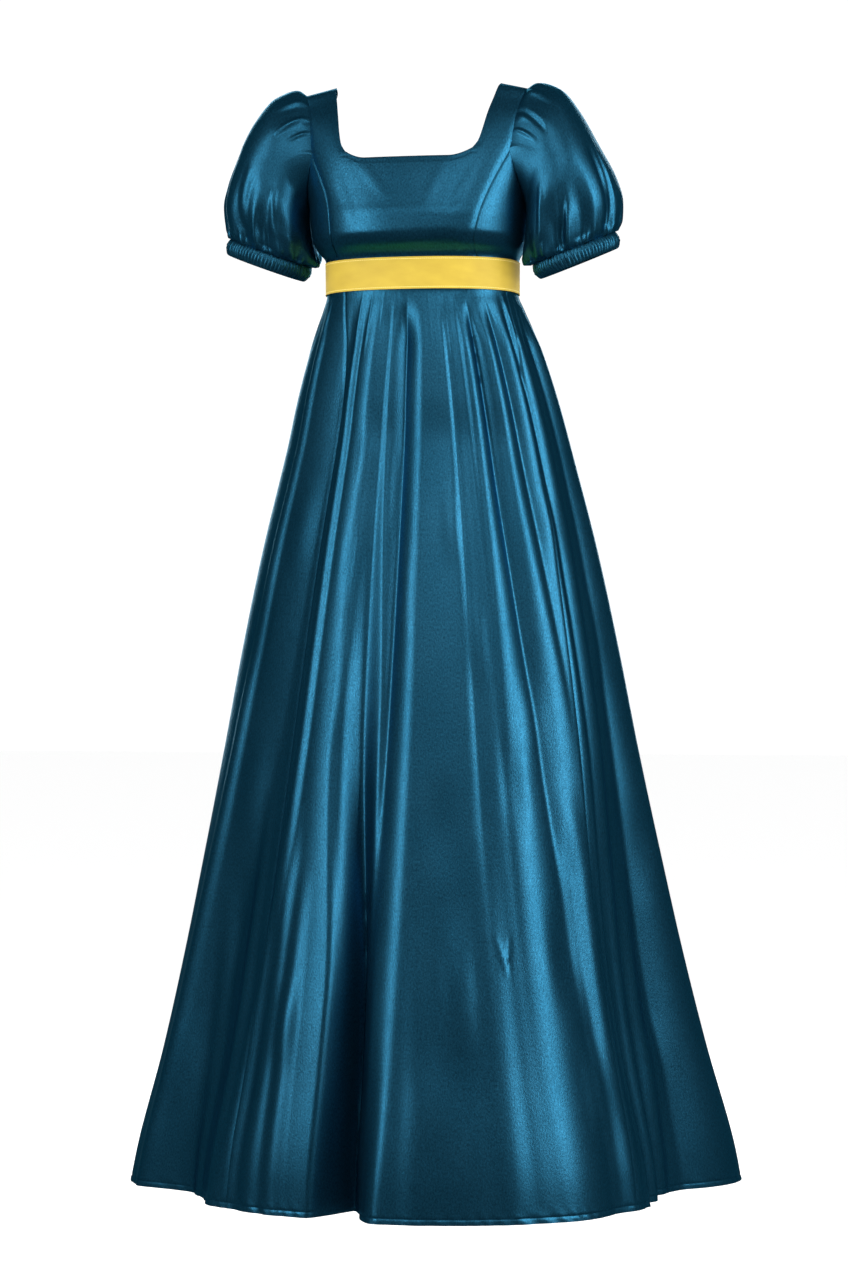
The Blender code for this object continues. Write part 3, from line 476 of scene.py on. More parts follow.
def flat_chart(points):
    """Lay a grid of points out flat: arc length across each row and up each column."""
    across = np.linalg.norm(np.diff(points, axis=1), axis=2)
    across = np.concatenate([np.zeros((len(points), 1)), np.cumsum(across, axis=1)], axis=1)
    across -= across[:, -1:] / 2.0
    up = np.linalg.norm(np.diff(points, axis=0), axis=2)
    up = np.concatenate([np.zeros((1, points.shape[1])), np.cumsum(up, axis=0)], axis=0)
    return np.stack([across, up], axis=2)


def from_seams(chart):
    """How far each point of a flat chart lies from its left and right edges, in millimetres."""
    across = chart[..., 0]
    return (across - across[:, :1]) / MM, (across[:, -1:] - across) / MM


# ---------------------------------------------------------------- materials

# Colours of the cloth: a darker and a lighter one that the dye clouds between.
TEAL = ((0.011, 0.078, 0.138, 1.0), (0.016, 0.095, 0.164, 1.0))
# The cuffs' satin is the same cloth painted a little darker: painted shade for the dark folds among
# the cuff's gathers.
SHIRRED_TEAL_PAINTED_SHADE = ((0.010, 0.070, 0.120, 1.0), (0.014, 0.082, 0.138, 1.0))
RIBBON_YELLOW = ((0.435, 0.296, 0.016, 1.0), (0.515, 0.360, 0.024, 1.0))
STITCH_YELLOW = (0.78, 0.62, 0.16, 1.0)
# The satin's threads catch the light one by one, from a duller share to a brighter one.
GLINT = ((0.62, 0.62, 0.62, 1.0), (1.5, 1.5, 1.5, 1.0))
SATIN_TINT = (0.32, 0.77, 1.0, 1.0)

# The ribbon's stitches: how far the line lies from the middle, half its breadth, how many
# there are to a metre, and the share of each that shows.
STITCH_LINE = 0.0176
STITCH_HALF_BREADTH = 0.0004
STITCHES = 380.0
STITCH_SHARE = 0.78
RIB_SCALE = 380.0


def node_material(name):
    material = bpy.data.materials.new(name)
    material.use_nodes = True
    nodes, links = material.node_tree.nodes, material.node_tree.links
    return material, nodes, links, nodes["Principled BSDF"]


def cloth_chart(nodes):
    chart = nodes.new("ShaderNodeUVMap")
    chart.uv_map = "cloth"
    return chart.outputs["UV"]


def stretched_noise(nodes, links, across, along, detail, roughness=0.5):
    """Noise on the flat cloth, drawn out along the threads."""
    mapping = nodes.new("ShaderNodeMapping")
    mapping.inputs["Scale"].default_value = (across, along, 1.0)
    noise = nodes.new("ShaderNodeTexNoise")
    noise.inputs["Scale"].default_value = 1.0
    noise.inputs["Detail"].default_value = detail
    noise.inputs["Roughness"].default_value = roughness
    links.new(cloth_chart(nodes), mapping.inputs["Vector"])
    links.new(mapping.outputs["Vector"], noise.inputs["Vector"])
    return noise.outputs["Fac"]


def ranged(nodes, links, value, low, high):
    """The middle of a noise's range spread from a low value to a high one."""
    span = nodes.new("ShaderNodeMapRange")
    span.inputs["From Min"].default_value = 0.3
    span.inputs["From Max"].default_value = 0.7
    span.inputs["To Min"].default_value = low
    span.inputs["To Max"].default_value = high
    links.new(value, span.inputs["Value"])
    return span.outputs["Result"]


def colours(nodes, links, value, dark, light):
    ramp = nodes.new("ShaderNodeValToRGB")
    ramp.color_ramp.elements[0].position = 0.25
    ramp.color_ramp.elements[0].color = dark
    ramp.color_ramp.elements[1].position = 0.75
    ramp.color_ramp.elements[1].color = light
    links.new(value, ramp.inputs["Fac"])
    return ramp.outputs["Color"]


def colour_mix(nodes, blend_type="MIX"):
    mix = nodes.new("ShaderNodeMix")
    mix.data_type = "RGBA"
    mix.blend_type = blend_type
    return mix


def maths(nodes, links, operation, first, second=0.0):
    node = nodes.new("ShaderNodeMath")
    node.operation = operation
    links.new(first, node.inputs[0])
    if isinstance(second, float):
        node.inputs[1].default_value = second
    else:
        links.new(second, node.inputs[1])
    return node.outputs["Value"]


def distance_from(nodes, links, value, line):
    apart = maths(nodes, links, "SUBTRACT", value, line)
    return maths(nodes, links, "ABSOLUTE", apart)


def bumped(nodes, links, shader, layers):
    """Chain bumps, each (height, strength, distance in metres), into the shader's normal."""
    previous = None
    for height, strength, distance in layers:
        node = nodes.new("ShaderNodeBump")
        node.inputs["Strength"].default_value = strength
        node.inputs["Distance"].default_value = distance
        links.new(height, node.inputs["Height"])
        if previous is not None:
            links.new(previous, node.inputs["Normal"])
        previous = node.outputs["Normal"]
    links.new(previous, shader.inputs["Normal"])


def satin_material(name, teal, roughness, metallic):
    """Warp-faced satin: long threads, a soft tinted gloss and a fine sparkle of weave."""
    material, nodes, links, shader = node_material(name)
    sparkle = stretched_noise(nodes, links, across=520.0, along=300.0, detail=2.0, roughness=0.7)
    threads = stretched_noise(nodes, links, across=2600.0, along=520.0, detail=3.0, roughness=0.6)
    slubs = stretched_noise(nodes, links, across=420.0, along=60.0, detail=2.0)
    clouds = stretched_noise(nodes, links, across=14.0, along=9.0, detail=3.0)
    glint = colour_mix(nodes, "MULTIPLY")
    glint.inputs["Factor"].default_value = 1.0
    links.new(colours(nodes, links, clouds, *teal), glint.inputs["A"])
    links.new(colours(nodes, links, sparkle, *GLINT), glint.inputs["B"])
    links.new(glint.outputs["Result"], shader.inputs["Base Color"])
    spread = ranged(nodes, links, slubs, roughness - 0.03, roughness + 0.05)
    links.new(spread, shader.inputs["Roughness"])
    shader.inputs["Metallic"].default_value = metallic
    shader.inputs["IOR"].default_value = 1.5
    shader.inputs["Specular Tint"].default_value = SATIN_TINT
    layers = ((sparkle, 0.35, 0.0006), (threads, 0.20, 0.0002), (slubs, 0.10, 0.0003))
    bumped(nodes, links, shader, layers)
    return material


def stitching(nodes, links):
    """1 on a row of stitches beside each edge of the ribbon, and 0 between them."""
    parts = nodes.new("ShaderNodeSeparateXYZ")
    links.new(cloth_chart(nodes), parts.inputs["Vector"])
    from_middle = distance_from(nodes, links, parts.outputs["Y"], RIBBON_WIDTH / 2.0)
    from_line = distance_from(nodes, links, from_middle, STITCH_LINE)
    on_line = maths(nodes, links, "LESS_THAN", from_line, STITCH_HALF_BREADTH)
    stitches = maths(nodes, links, "MULTIPLY", parts.outputs["X"], STITCHES)
    dashes = maths(nodes, links, "FRACT", stitches)
    shown = maths(nodes, links, "LESS_THAN", dashes, STITCH_SHARE)
    return maths(nodes, links, "MULTIPLY", on_line, shown)


def ribbon_material():
    """Matt grosgrain: fine ribs across the ribbon and a line of stitches beside each edge."""
    material, nodes, links, shader = node_material("ribbon_grosgrain")
    ribs = nodes.new("ShaderNodeTexWave")
    ribs.bands_direction = "X"
    ribs.inputs["Scale"].default_value = RIB_SCALE
    ribs.inputs["Distortion"].default_value = 0.3
    links.new(cloth_chart(nodes), ribs.inputs["Vector"])
    clouds = stretched_noise(nodes, links, across=30.0, along=60.0, detail=3.0)
    weave = stretched_noise(nodes, links, across=1400.0, along=700.0, detail=2.0)
    thread = stitching(nodes, links)
    stitched = colour_mix(nodes)
    links.new(thread, stitched.inputs["Factor"])
    links.new(colours(nodes, links, clouds, *RIBBON_YELLOW), stitched.inputs["A"])
    stitched.inputs["B"].default_value = STITCH_YELLOW
    links.new(stitched.outputs["Result"], shader.inputs["Base Color"])
    shader.inputs["Roughness"].default_value = 0.62
    shader.inputs["Sheen Weight"].default_value = 0.10
    layers = ((ribs.outputs["Fac"], 0.25, 0.0002), (weave, 0.15, 0.0002), (thread, 0.5, 0.0004))
    bumped(nodes, links, shader, layers)
    return material


def plain_material(name, colour, roughness):
    material, _, _, shader = node_material(name)
    shader.inputs["Base Color"].default_value = colour
    shader.inputs["Roughness"].default_value = roughness
    return material


# ---------------------------------------------------------------- skirt

def between(start, end, height, power=1.0):
    """Blend from a waist value to a hem value at a height in millimetres."""
    drop = (WAIST - height) / (WAIST - HEM)
    return start + (end - start) * np.clip(drop, 0.0, 1.0) ** power


# The skirt's rolls, hollows, shoulders and furrows in order round the ring. Each has an edge
# (0 rounded, 1 a sharp crease), its angle at five heights and how far it stands out (+) or
# falls in (-) at the lower four, in mm. At the waist seam the ring is plain.
FOLD_HEIGHTS = (-1397.0, -1142.0, -792.0, -462.0, -262.0)
FOLDS = (
    ("left back hollow", 0.1, (-136.0, -137.0, -138.0, -140.0, -140.0), (-56.0, -34.0, -14.0, -5.0)),
    ("left back roll", 0.0, (-118.0, -119.0, -121.0, -122.0, -122.0), (2.0, 0.0, 0.0, 1.0)),
    ("left side dip", 0.1, (-98.0, -101.0, -105.0, -108.0, -108.0), (-34.0, -20.0, -9.0, -4.0)),
    ("left side roll", 0.0, (-80.0, -82.0, -84.0, -87.0, -90.0), (5.0, 3.0, 1.0, 1.0)),
    ("left side furrow", 1.0, (-75.0, -72.0, -65.0, -63.0, -69.0), (0.0, -2.0, -3.5, -3.0)),
    ("left side crest", 0.0, (-71.5, -68.5, -61.5, -59.5, -65.5), (-4.0, -2.0, -1.0, -0.5)),
    ("left hollow edge", 0.9, (-68.0, -65.0, -58.0, -56.0, -62.0), (-22.0, -16.0, -9.5, -4.5)),
    ("left hollow", 0.2, (-57.0, -54.0, -42.0, -39.0, -43.0), (-67.0, -46.0, -19.0, -8.0)),
    ("left seam", 0.8, (-41.0, -37.0, -32.5, -34.0, -38.0), (-37.0, -25.0, -9.0, -4.5)),
    ("seam ridge", 0.0, (-38.0, -34.5, -30.5, -32.0, -36.0), (-32.0, -20.0, -5.5, -2.0)),
    ("seam furrow", 1.0, (-33.0, -31.0, -28.0, -29.0, -32.0), (-34.0, -21.0, -7.0, -3.5)),
    ("left centre crest", 0.15, (-13.5, -13.0, -20.0, -21.0, -22.0), (-24.0, -5.0, -2.0, 1.0)),
    ("left centre edge", 0.4, (-12.0, -11.3, -17.0, -18.0, -19.0), (-48.0, -24.0, -4.5, 0.0)),
    ("deep hollow", 0.2, (-8.5, -7.5, -11.8, -12.5, -12.5), (-100.0, -66.0, -25.0, -3.5)),
    ("fine crest", 0.4, (-6.0, -4.5, -4.5, -9.0, -10.0), (-80.0, -30.0, -14.5, -2.2)),
    ("fine furrow", 0.8, (-4.0, -2.8, -2.0, -1.0, -1.0), (-46.0, -17.0, -19.0, -13.0)),
    ("centre shoulder", 0.0, (1.0, 4.5, 7.5, 10.0, 13.0), (-4.0, 0.0, 0.0, 0.5)),
    ("centre edge", 0.0, (20.0, 21.0, 22.5, 22.0, 22.0), (0.0, 0.0, 0.0, 1.0)),
    ("centre dip", 0.9, (26.0, 26.5, 26.5, 26.0, 26.0), (-1.5, -2.0, -3.5, -2.5)),
    ("right inner crest", 0.0, (31.0, 31.0, 30.5, 29.5, 30.0), (-1.9, -1.8, -1.2, -0.4)),
    ("right inner furrow", 0.7, (33.5, 33.5, 33.6, 32.3, 33.0), (-2.3, -2.2, -1.6, -0.4)),
    ("right shoulder", 0.0, (36.0, 34.8, 35.5, 35.0, 35.5), (-2.8, -2.0, 0.0, 4.0)),
    ("right dip", 0.9, (49.0, 48.5, 45.5, 42.0, 43.0), (-28.0, -20.0, -11.5, -8.0)),
    ("right crest", 0.0, (58.5, 58.0, 55.5, 48.5, 48.5), (-38.0, -27.0, -2.5, 3.0)),
    ("right crest furrow", 0.8, (60.0, 59.5, 57.8, 54.5, 54.5), (-42.0, -31.0, -3.5, -4.0)),
    ("right seam ridge", 0.0, (61.5, 61.0, 61.5, 60.5, 61.0), (-43.0, -32.0, -3.0, 2.0)),
    ("right seam", 1.0, (64.0, 63.0, 64.0, 64.5, 65.0), (-60.0, -42.0, -10.0, -5.0)),
    ("right seam crest", 0.0, (68.0, 67.0, 68.5, 69.5, 70.0), (-66.0, -45.0, -7.0, 0.0)),
    ("right hollow", 0.2, (77.0, 75.0, 74.0, 76.0, 77.0), (-85.0, -56.0, -17.0, -8.0)),
    ("right hollow end", 0.9, (88.0, 86.0, 81.0, 83.0, 85.0), (-66.0, -47.0, -18.0, -8.0)),
    ("right side roll", 0.0, (106.0, 101.0, 93.0, 92.0, 92.0), (6.0, 5.0, 3.0, 3.0)),
    ("right back hollow", 0.1, (126.0, 123.0, 119.0, 117.0, 116.0), (-54.0, -32.0, -14.0, -5.0)),
    ("right back roll", 0.0, (144.0, 141.0, 137.0, 135.0, 134.0), (0.0, 0.0, 0.0, 1.0)),
    ("back hollow", 0.1, (160.0, 157.0, 154.0, 153.0, 152.0), (-60.0, -36.0, -16.0, -6.0)),
    ("centre back roll", 0.0, (181.0, 180.0, 178.0, 177.0, 176.0), (4.0, 2.0, 2.0, 3.0)),
    ("left inner hollow", 0.1, (202.0, 201.0, 199.0, 198.0, 198.0), (-48.0, -30.0, -13.0, -6.0)),
    ("left inner roll", 0.0, (213.0, 212.0, 210.0, 209.0, 208.0), (-6.0, -2.0, 0.0, 1.0)),
)

# The folds are read at close steps round the ring and down the skirt, and their ring is
# softened a little. They grow out of the plain waist ring over a short drop.
FOLD_STEP = 0.25
FOLD_LEVELS = 260
FOLD_GROWTH = 75.0
FOLD_SOFTENING = np.hanning(11)[1:-1] / np.hanning(11)[1:-1].sum()


def creased_reading(stations, values, edges, at):
    """Read a line through the stations that is flat at rounded ones and bent at sharp ones."""
    index = np.clip(np.searchsorted(stations, at, side="right") - 1, 0, len(stations) - 2)
    width = stations[index + 1] - stations[index]
    share = (at - stations[index]) / width
    start, end = values[index], values[index + 1]
    step = end - start
    leaving = step * edges[index] * (2.0 - edges[index + 1])
    arriving = step * edges[index + 1] * (2.0 - edges[index])
    square, cube = share**2, share**3
    return (
        (2.0 * cube - 3.0 * square + 1.0) * start
        + (cube - 2.0 * square + share) * leaving
        + (3.0 * square - 2.0 * cube) * end
        + (cube - square) * arriving
    )


def closed_ring(values, turn=0.0):
    """A ring's values with its last one again before the first, and its first after the last."""
    return np.concatenate([values[-1:] - turn, values, values[:1] + turn])


def fold_offset(angle, height):
    """How far the folds move the ring at an angle in degrees and a height in mm."""
    result = np.zeros_like(angle)
    edges = closed_ring(np.array([edge for _, edge, _, _ in FOLDS]))
    levels = np.linspace(height.min(), height.max(), FOLD_LEVELS)
    angles = [smooth_reading(FOLD_HEIGHTS, row, levels) for _, _, row, _ in FOLDS]
    depths = [smooth_reading(FOLD_HEIGHTS[:-1], row, levels) for _, _, _, row in FOLDS]
    steps = np.arange(0.0, 360.0, FOLD_STEP)
    spare = len(FOLD_SOFTENING) // 2
    for level in np.unique(height):
        here = height == level
        grown = smoothstep((FOLD_HEIGHTS[-1] - level) / FOLD_GROWTH)
        angles_here = np.array([np.interp(level, levels, row) for row in angles])
        depths_here = np.array([np.interp(level, levels, row) for row in depths]) * grown
        stations = closed_ring(angles_here, 360.0)
        turned = (steps - stations[1]) % 360.0 + stations[1]
        ring = creased_reading(stations, closed_ring(depths_here), edges, turned)
        ring = np.concatenate([ring[-spare:], ring, ring[:spare]])
        ring = np.convolve(ring, FOLD_SOFTENING, mode="valid")
        result[here] = np.interp(angle[here] % 360.0, steps, ring, period=360.0)
    return result


def back_gathers():
    """Gathers round the back, uneven ones of like size to the front's."""
    rows = []
    for k in range(BACK_GATHERS):
        waist_angle = BACK_GATHER_START + k * BACK_GATHER_STEP + 2.2 * math.sin(1.9 * k)
        low_angle = waist_angle + 2.0 * math.sin(0.9 * k)
        width = 5.0 + math.sin(2.7 * k)
        rise = 5.0 + 1.3 * math.sin(2.1 * k + 0.6)
        fade = -1000.0 - 220.0 * math.sin(3.3 * k)
        rows.append((waist_angle, low_angle, width, rise, fade))
    return rows


GATHERS = list(FRONT_GATHERS) + back_gathers()
GATHER_TOP = -263.0
GATHER_FULL = -352.0
# Satin lies softer than the table's gathers: how much of their rise and reach it keeps.
GATHER_SHARE = 0.03
GATHER_REACH = 0.16
# The share of its run over which it dies away, and the power that its angle changes by.
GATHER_FADING = 0.8
GATHER_LEAN = 0.5


def gather_offset(angle, height):
    total = np.zeros_like(angle)
    for waist_angle, low_angle, width, rise, fade in GATHERS:
        centre = between(waist_angle, low_angle, height, GATHER_LEAN)
        grown = smoothstep((GATHER_TOP - height) / (GATHER_TOP - GATHER_FULL))
        end = GATHER_FULL + (fade - GATHER_FULL) * GATHER_REACH
        left = smoothstep((height - end) / (GATHER_FADING * (GATHER_FULL - end)))
        total += rise * grown * left * bump(turned_apart(angle, centre) / width)
    return total * GATHER_SHARE


# Small tucks just under the ribbon: the angle at the ribbon and at the tuck's end, the height
# of its end, half its breadth in degrees and its rise in millimetres.
TUCK_TOP = -262.0
FRONT_TUCKS = (
    (-36.0, -35.0, -330.0, 1.4, 0.66),
    (-28.0, -27.5, -345.0, 1.5, 0.78),
    (-19.0, -18.0, -322.0, 1.3, 0.5),
    (-6.0, -5.0, -318.0, 1.4, 0.42),
    (16.0, 16.5, -326.0, 1.4, 0.45),
    (29.0, 28.0, -350.0, 1.4, 0.72),
    (35.0, 35.5, -345.0, 1.3, 0.78),
    (44.0, 45.0, -350.0, 1.5, 0.78),
    (55.0, 57.0, -340.0, 1.5, 0.60),
)
BACK_TUCKS = 26
BACK_TUCK_START = 68.0
BACK_TUCK_STEP = 9.1

# Folds that only start low on the skirt and run out past the hem: the angle and height of
# their start, the angle of their end, half-breadth and rise.
LOW_FOLD_END = -1600.0
LOW_FOLDS = (
    (-57.0, -1010.0, -54.0, 4.5, 4.8),
    (-44.0, -880.0, -41.0, 4.5, 4.8),
    (-29.5, -880.0, -28.0, 4.2, 4.3),
    (-23.5, -980.0, -22.0, 3.8, 4.3),
    (9.0, -1050.0, 8.0, 4.2, 2.1),
    (26.0, -930.0, 27.0, 4.8, 3.0),
    (55.0, -910.0, 56.0, 4.5, 5.2),
    (70.0, -980.0, 69.0, 4.5, 4.8),
    (80.0, -1010.0, 79.0, 4.2, 4.3),
    (130.0, -980.0, 131.0, 4.8, 4.3),
    (150.0, -930.0, 151.0, 5.1, 3.8),
    (170.0, -880.0, 171.0, 4.8, 4.3),
    (205.0, -930.0, 204.0, 5.1, 4.3),
    (228.0, -910.0, 229.0, 4.8, 4.8),
    (247.0, -950.0, 246.0, 4.8, 3.8),
)
SKIRT_RIDGE_POWER = 0.7


def back_tucks():
    """Tucks under the ribbon round the sides and back, as uneven as the front's."""
    rows = []
    for k in range(BACK_TUCKS):
        angle = BACK_TUCK_START + BACK_TUCK_STEP * k + 2.0 * math.sin(2.3 * k)
        end = -330.0 - 16.0 * math.sin(1.7 * k)
        rise = 1.0 + 0.3 * math.sin(3.1 * k)
        rows.append((angle, angle + math.sin(k), end, 1.6, rise))
    return rows


def skirt_ridges():
    """Every tuck and low fold, each as a row for ridges()."""
    front = [(angle, TUCK_TOP, *row) for angle, *row in FRONT_TUCKS]
    back = [(angle, TUCK_TOP, *row) for angle, *row in back_tucks()]
    low = [(*row[:3], LOW_FOLD_END, *row[3:]) for row in LOW_FOLDS]
    return front + low + back


SKIRT_RIDGES = skirt_ridges()

# Soft swells (+) and dents (-) where the cloth bears on itself: angle and height of the middle,
# half-breadth in degrees, half-length and rise in mm.
SKIRT_SWELLS = (
    (-18.0, -470.0, 5.8, 60.8, 1.4),
    (-20.0, -600.0, 4.6, 67.5, -1.2),
    (-17.0, -760.0, 4.6, 94.5, 1.6),
    (-48.0, -560.0, 9.2, 81.0, 1.8),
    (-60.0, -700.0, 6.9, 108.0, -2.2),
    (-52.0, -905.0, 8.0, 121.5, 2.9),
    (-30.0, -1010.0, 5.8, 94.5, 2.5),
    (-40.0, -1130.0, 6.9, 81.0, -3.2),
    (-24.0, -1165.0, 5.2, 67.5, 2.9),
    (-66.0, -1230.0, 6.9, 81.0, 2.9),
    (-4.0, -520.0, 3.4, 81.0, -1.1),
    (3.0, -640.0, 4.6, 81.0, 0.9),
    (12.0, -1260.0, 6.9, 81.0, 2.2),
    (18.0, -1120.0, 5.8, 114.8, 4.3),
    (15.0, -930.0, 6.9, 81.0, -1.8),
    (21.0, -560.0, 5.2, 60.8, 1.6),
    (28.0, -700.0, 4.6, 74.2, 1.4),
    (36.0, -880.0, 5.2, 81.0, -1.8),
    (44.0, -800.0, 6.9, 81.0, 2.2),
    (52.0, -930.0, 5.8, 67.5, 2.2),
    (46.0, -1090.0, 6.9, 94.5, -3.6),
    (50.0, -1250.0, 5.8, 81.0, 3.6),
    (62.0, -560.0, 6.9, 60.8, 1.8),
    (80.0, -700.0, 8.0, 81.0, 2.2),
    (88.0, -960.0, 6.9, 94.5, -2.5),
    (84.0, -1240.0, 8.0, 81.0, 4.3),
    (120.0, -760.0, 8.0, 121.5, 2.2),
    (150.0, -900.0, 8.0, 148.5, -2.5),
    (172.0, -1120.0, 6.9, 108.0, 2.9),
    (190.0, -680.0, 6.9, 121.5, 1.8),
    (215.0, -960.0, 8.0, 121.5, 2.5),
    (236.0, -1180.0, 6.9, 94.5, -2.9),
    (250.0, -780.0, 8.0, 108.0, 2.2),
)


def swell_offset(angle, height):
    total = np.zeros_like(angle)
    for middle, level, breadth, length, rise in SKIRT_SWELLS:
        across = turned_apart(angle, middle) / breadth
        total += rise * bump(across) * bump((height - level) / length)
    return total


# Small marks of handling: a level crease, a pulled fold and a caught thread. Angle and height
# of both ends, half-breadth and rise in mm.
SKIRT_MARKS = (
    (14.5, -1196.0, 19.0, -1201.0, 2.6, -1.0),
    (19.0, -1201.0, 23.0, -1197.0, 2.6, -1.0),
    (27.5, -1062.0, 30.0, -1104.0, 3.5, 1.8),
    (31.0, -1060.0, 30.0, -1106.0, 3.0, -1.6),
    (-18.5, -489.5, -15.5, -488.0, 1.3, -0.8),
    (-61.0, -1120.0, -57.0, -1128.0, 3.0, 1.2),
    (196.0, -1010.0, 201.0, -1016.0, 3.0, -1.1),
)
# Radii of the skirt at the waist and the hem, that turn degrees into millimetres, and the
# share of a mark's rise that its ends keep.
MARK_RADII = (115.0, 385.0)
MARK_END_SHARE = 0.3


def mark_offset(angle, height):
    total = np.zeros_like(angle)
    for start, level, end, end_level, breadth, rise in SKIRT_MARKS:
        scale = math.radians(1.0) * between(*MARK_RADII, level)
        across = turned_apart(angle, start) * scale
        share, away = along_line(across, height - level, (end - start) * scale, end_level - level)
        swelling = MARK_END_SHARE + (1.0 - MARK_END_SHARE) * np.sin(np.pi * share)
        total += rise * swelling * bump(away / breadth)
    return total


# Up from the hem, in millimetres: the line of stitches, and the middle of the twists, with
# how far they reach to each side of it and how far they stand out.
HEM_DEPTH = 7.0
TWIST_MIDDLE = 5.0
TWIST_REACH = 9.0
TWIST_RISE = 0.45


def hem_relief(angle, height):
    """The turned hem: a sunk line where it is stitched, and the small twists that it draws."""
    up = height - HEM
    lean = angle * 1.9 + up * 0.22 + 2.0 * np.sin(angle * 0.31)
    twists = valley(up - TWIST_MIDDLE, TWIST_RISE * np.sin(lean), TWIST_REACH)
    return valley(up - HEM_DEPTH, *HEM_STITCH_DIP) + twists


def skirt_ring_radius(turn, height):
    """Radius of the plain skirt ring, before its folds."""
    return oval_radius(
        turn,
        skirt_at("half_width", height),
        skirt_at("half_depth", height),
        skirt_at("squareness", height),
    )


def skirt_surface(angle, height):
    """Outer face of the skirt: angle in degrees from the front, height in millimetres."""
    turn = np.radians(angle)
    radius = skirt_ring_radius(turn, height)
    radius = radius + fold_offset(angle, height) + gather_offset(angle, height)
    radius = radius + ridges(angle, height, SKIRT_RIDGES, SKIRT_RIDGE_POWER)
    radius = radius + swell_offset(angle, height) + mark_offset(angle, height)
    radius = radius - hem_relief(angle, height)
    forward = skirt_at("forward", height) + radius * np.cos(turn)
    return place(skirt_at("sideways", height) + radius * np.sin(turn), forward, height)


def skirt_seam_angle(name, height):
    waist_angle, hip_angle, hem_angle = SKIRT_SEAMS[name]
    return smooth_reading((HEM, SEAM_HIP, WAIST), (hem_angle, hip_angle, waist_angle), height)


# The skirt's rows: at the hem, as millimetres above it; then the start and end of each even
# run and its number of rows; and the last rows, which lie behind the ribbon.
HEM_ROWS = (0.0, 1.2, 2.6, 4.2, 5.6, 6.4, 7.0, 7.6, 8.4, 9.8, 12.0, 15.0, 19.0)
BODY_ROWS = (HEM + 25.0, SEAM_HIP, 118)
UPPER_ROWS = (-414.0, -264.0, 44)
TOP_ROWS = (RIBBON_FOOT + 1.5, -250.0, SKIRT_TOP)
SKIRT_PROBE = (0.2, 1.5)
# How much closer together a panel's columns lie beside its seams.
PANEL_CROWDING = 0.04


def skirt_row_heights():
    """Row heights from the hem up: close together at the hem and below the ribbon."""
    rows = (HEM + np.array(HEM_ROWS), np.linspace(*BODY_ROWS), np.linspace(*UPPER_ROWS), TOP_ROWS)
    return np.concatenate(rows)


def make_skirt_panel(node, start, end, end_turn, columns, material):
    heights = skirt_row_heights()
    first = skirt_seam_angle(start, heights)
    last = skirt_seam_angle(end, heights) + end_turn
    share = np.linspace(0.0, 1.0, columns + 1)
    share = share - PANEL_CROWDING * np.sin(2.0 * np.pi * share) / (2.0 * np.pi)
    angle = spread_between(first, last, share)
    height = np.repeat(heights[:, None], len(share), axis=1)
    points = skirt_surface(angle, height)
    normals = surface_normals(skirt_surface, angle, height, SKIRT_PROBE)
    chart = flat_chart(points)
    from_left, from_right = from_seams(chart)
    depth = valley(from_left, *SKIRT_SEAM_DIP) + valley(from_right, *SKIRT_SEAM_DIP)
    points = drawn_in(points, normals, depth)
    return cloth_wall(node, points, normals, grid_cells(numbered(height)), chart, material)


# ---------------------------------------------------------------- bodice

BODICE_ROWS = 46
STRAP_ROWS = 34
ROW_CROWDING = 0.12
BODICE_PROBE = (0.4, 0.02)


def bodice_ring(angle, level):
    """Outer face of the bodice: angle in degrees from the front, level up from the waist."""
    front, back = bodice_at("front", level), bodice_at("back", level)
    turn = np.radians(angle)
    radius = oval_radius(
        turn,
        bodice_at("half_width", level),
        (front + back) / 2.0,
        bodice_at("squareness", level),
    )
    forward = (front - back) / 2.0 + radius * np.cos(turn)
    return place(radius * np.sin(turn), forward, bodice_at("height", level))


def bodice_sheet(x, level, face):
    """Front (face 1) or back (face -1) of the bodice over a sideways place in millimetres."""
    front, back = bodice_at("front", level), bodice_at("back", level)
    across = np.minimum(0.999, np.abs(x) / bodice_at("half_width", level))
    squareness = bodice_at("squareness", level)
    reach = (1.0 - across ** squareness) ** (1.0 / squareness)
    forward = (front - back) / 2.0 + face * reach * (front + back) / 2.0
    height = bodice_at("height", level)
    top = smoothstep((height - NECK_CORNER) / -NECK_CORNER)
    slope = SHOULDER_DROP * top * np.maximum(0.0, np.abs(x) - STRAP_INSIDE)
    return place(x, forward, height - slope)


def angle_at_x(x, level):
    """Angle of the front point of a bodice ring that lies at a sideways place."""
    front, back = bodice_at("front", level), bodice_at("back", level)
    across = np.abs(x) / bodice_at("half_width", level)
    squareness = bodice_at("squareness", level)
    reach = (1.0 - across ** squareness) ** (1.0 / squareness) * (front + back) / 2.0
    return np.degrees(np.arctan2(x, reach))


def strap_inner_edge(neck_at, side, height):
    """Half-width of a strap's neck edge; side is 1 for the strap at +X."""
    return neck_at(height) + RIGHT_STRAP_SHIFT * (side > 0)


def front_edge_x(side, height):
    """Signed sideways place of the bodice front's edge."""
    swing = smoothstep((SEAM_SWING_START - height) / (SEAM_SWING_START - WAIST))
    return side * front_edge_at(height) + SEAM_SWING * swing


def neckline_height(share):
    """Height of a square neckline with rounded corners; share runs from -1 to 1 across."""
    turned = np.maximum(0.0, np.abs(share) - (1.0 - NECK_ROUNDING)) / NECK_ROUNDING
    return NECK_BOTTOM + (NECK_CORNER - NECK_BOTTOM) * turned ** NECK_POWER


def armhole_curve(share, start_height):
    """Height of the armhole's lower curve; share runs from its upright edge to the underarm."""
    return start_height + (UNDERARM - start_height) * np.sqrt(1.0 - (1.0 - share) ** 2)


def strap_levels():
    start = level_of(NECK_CORNER)
    return start + (TOP_LEVEL - start) * np.linspace(0.0, 1.0, STRAP_ROWS + 1)


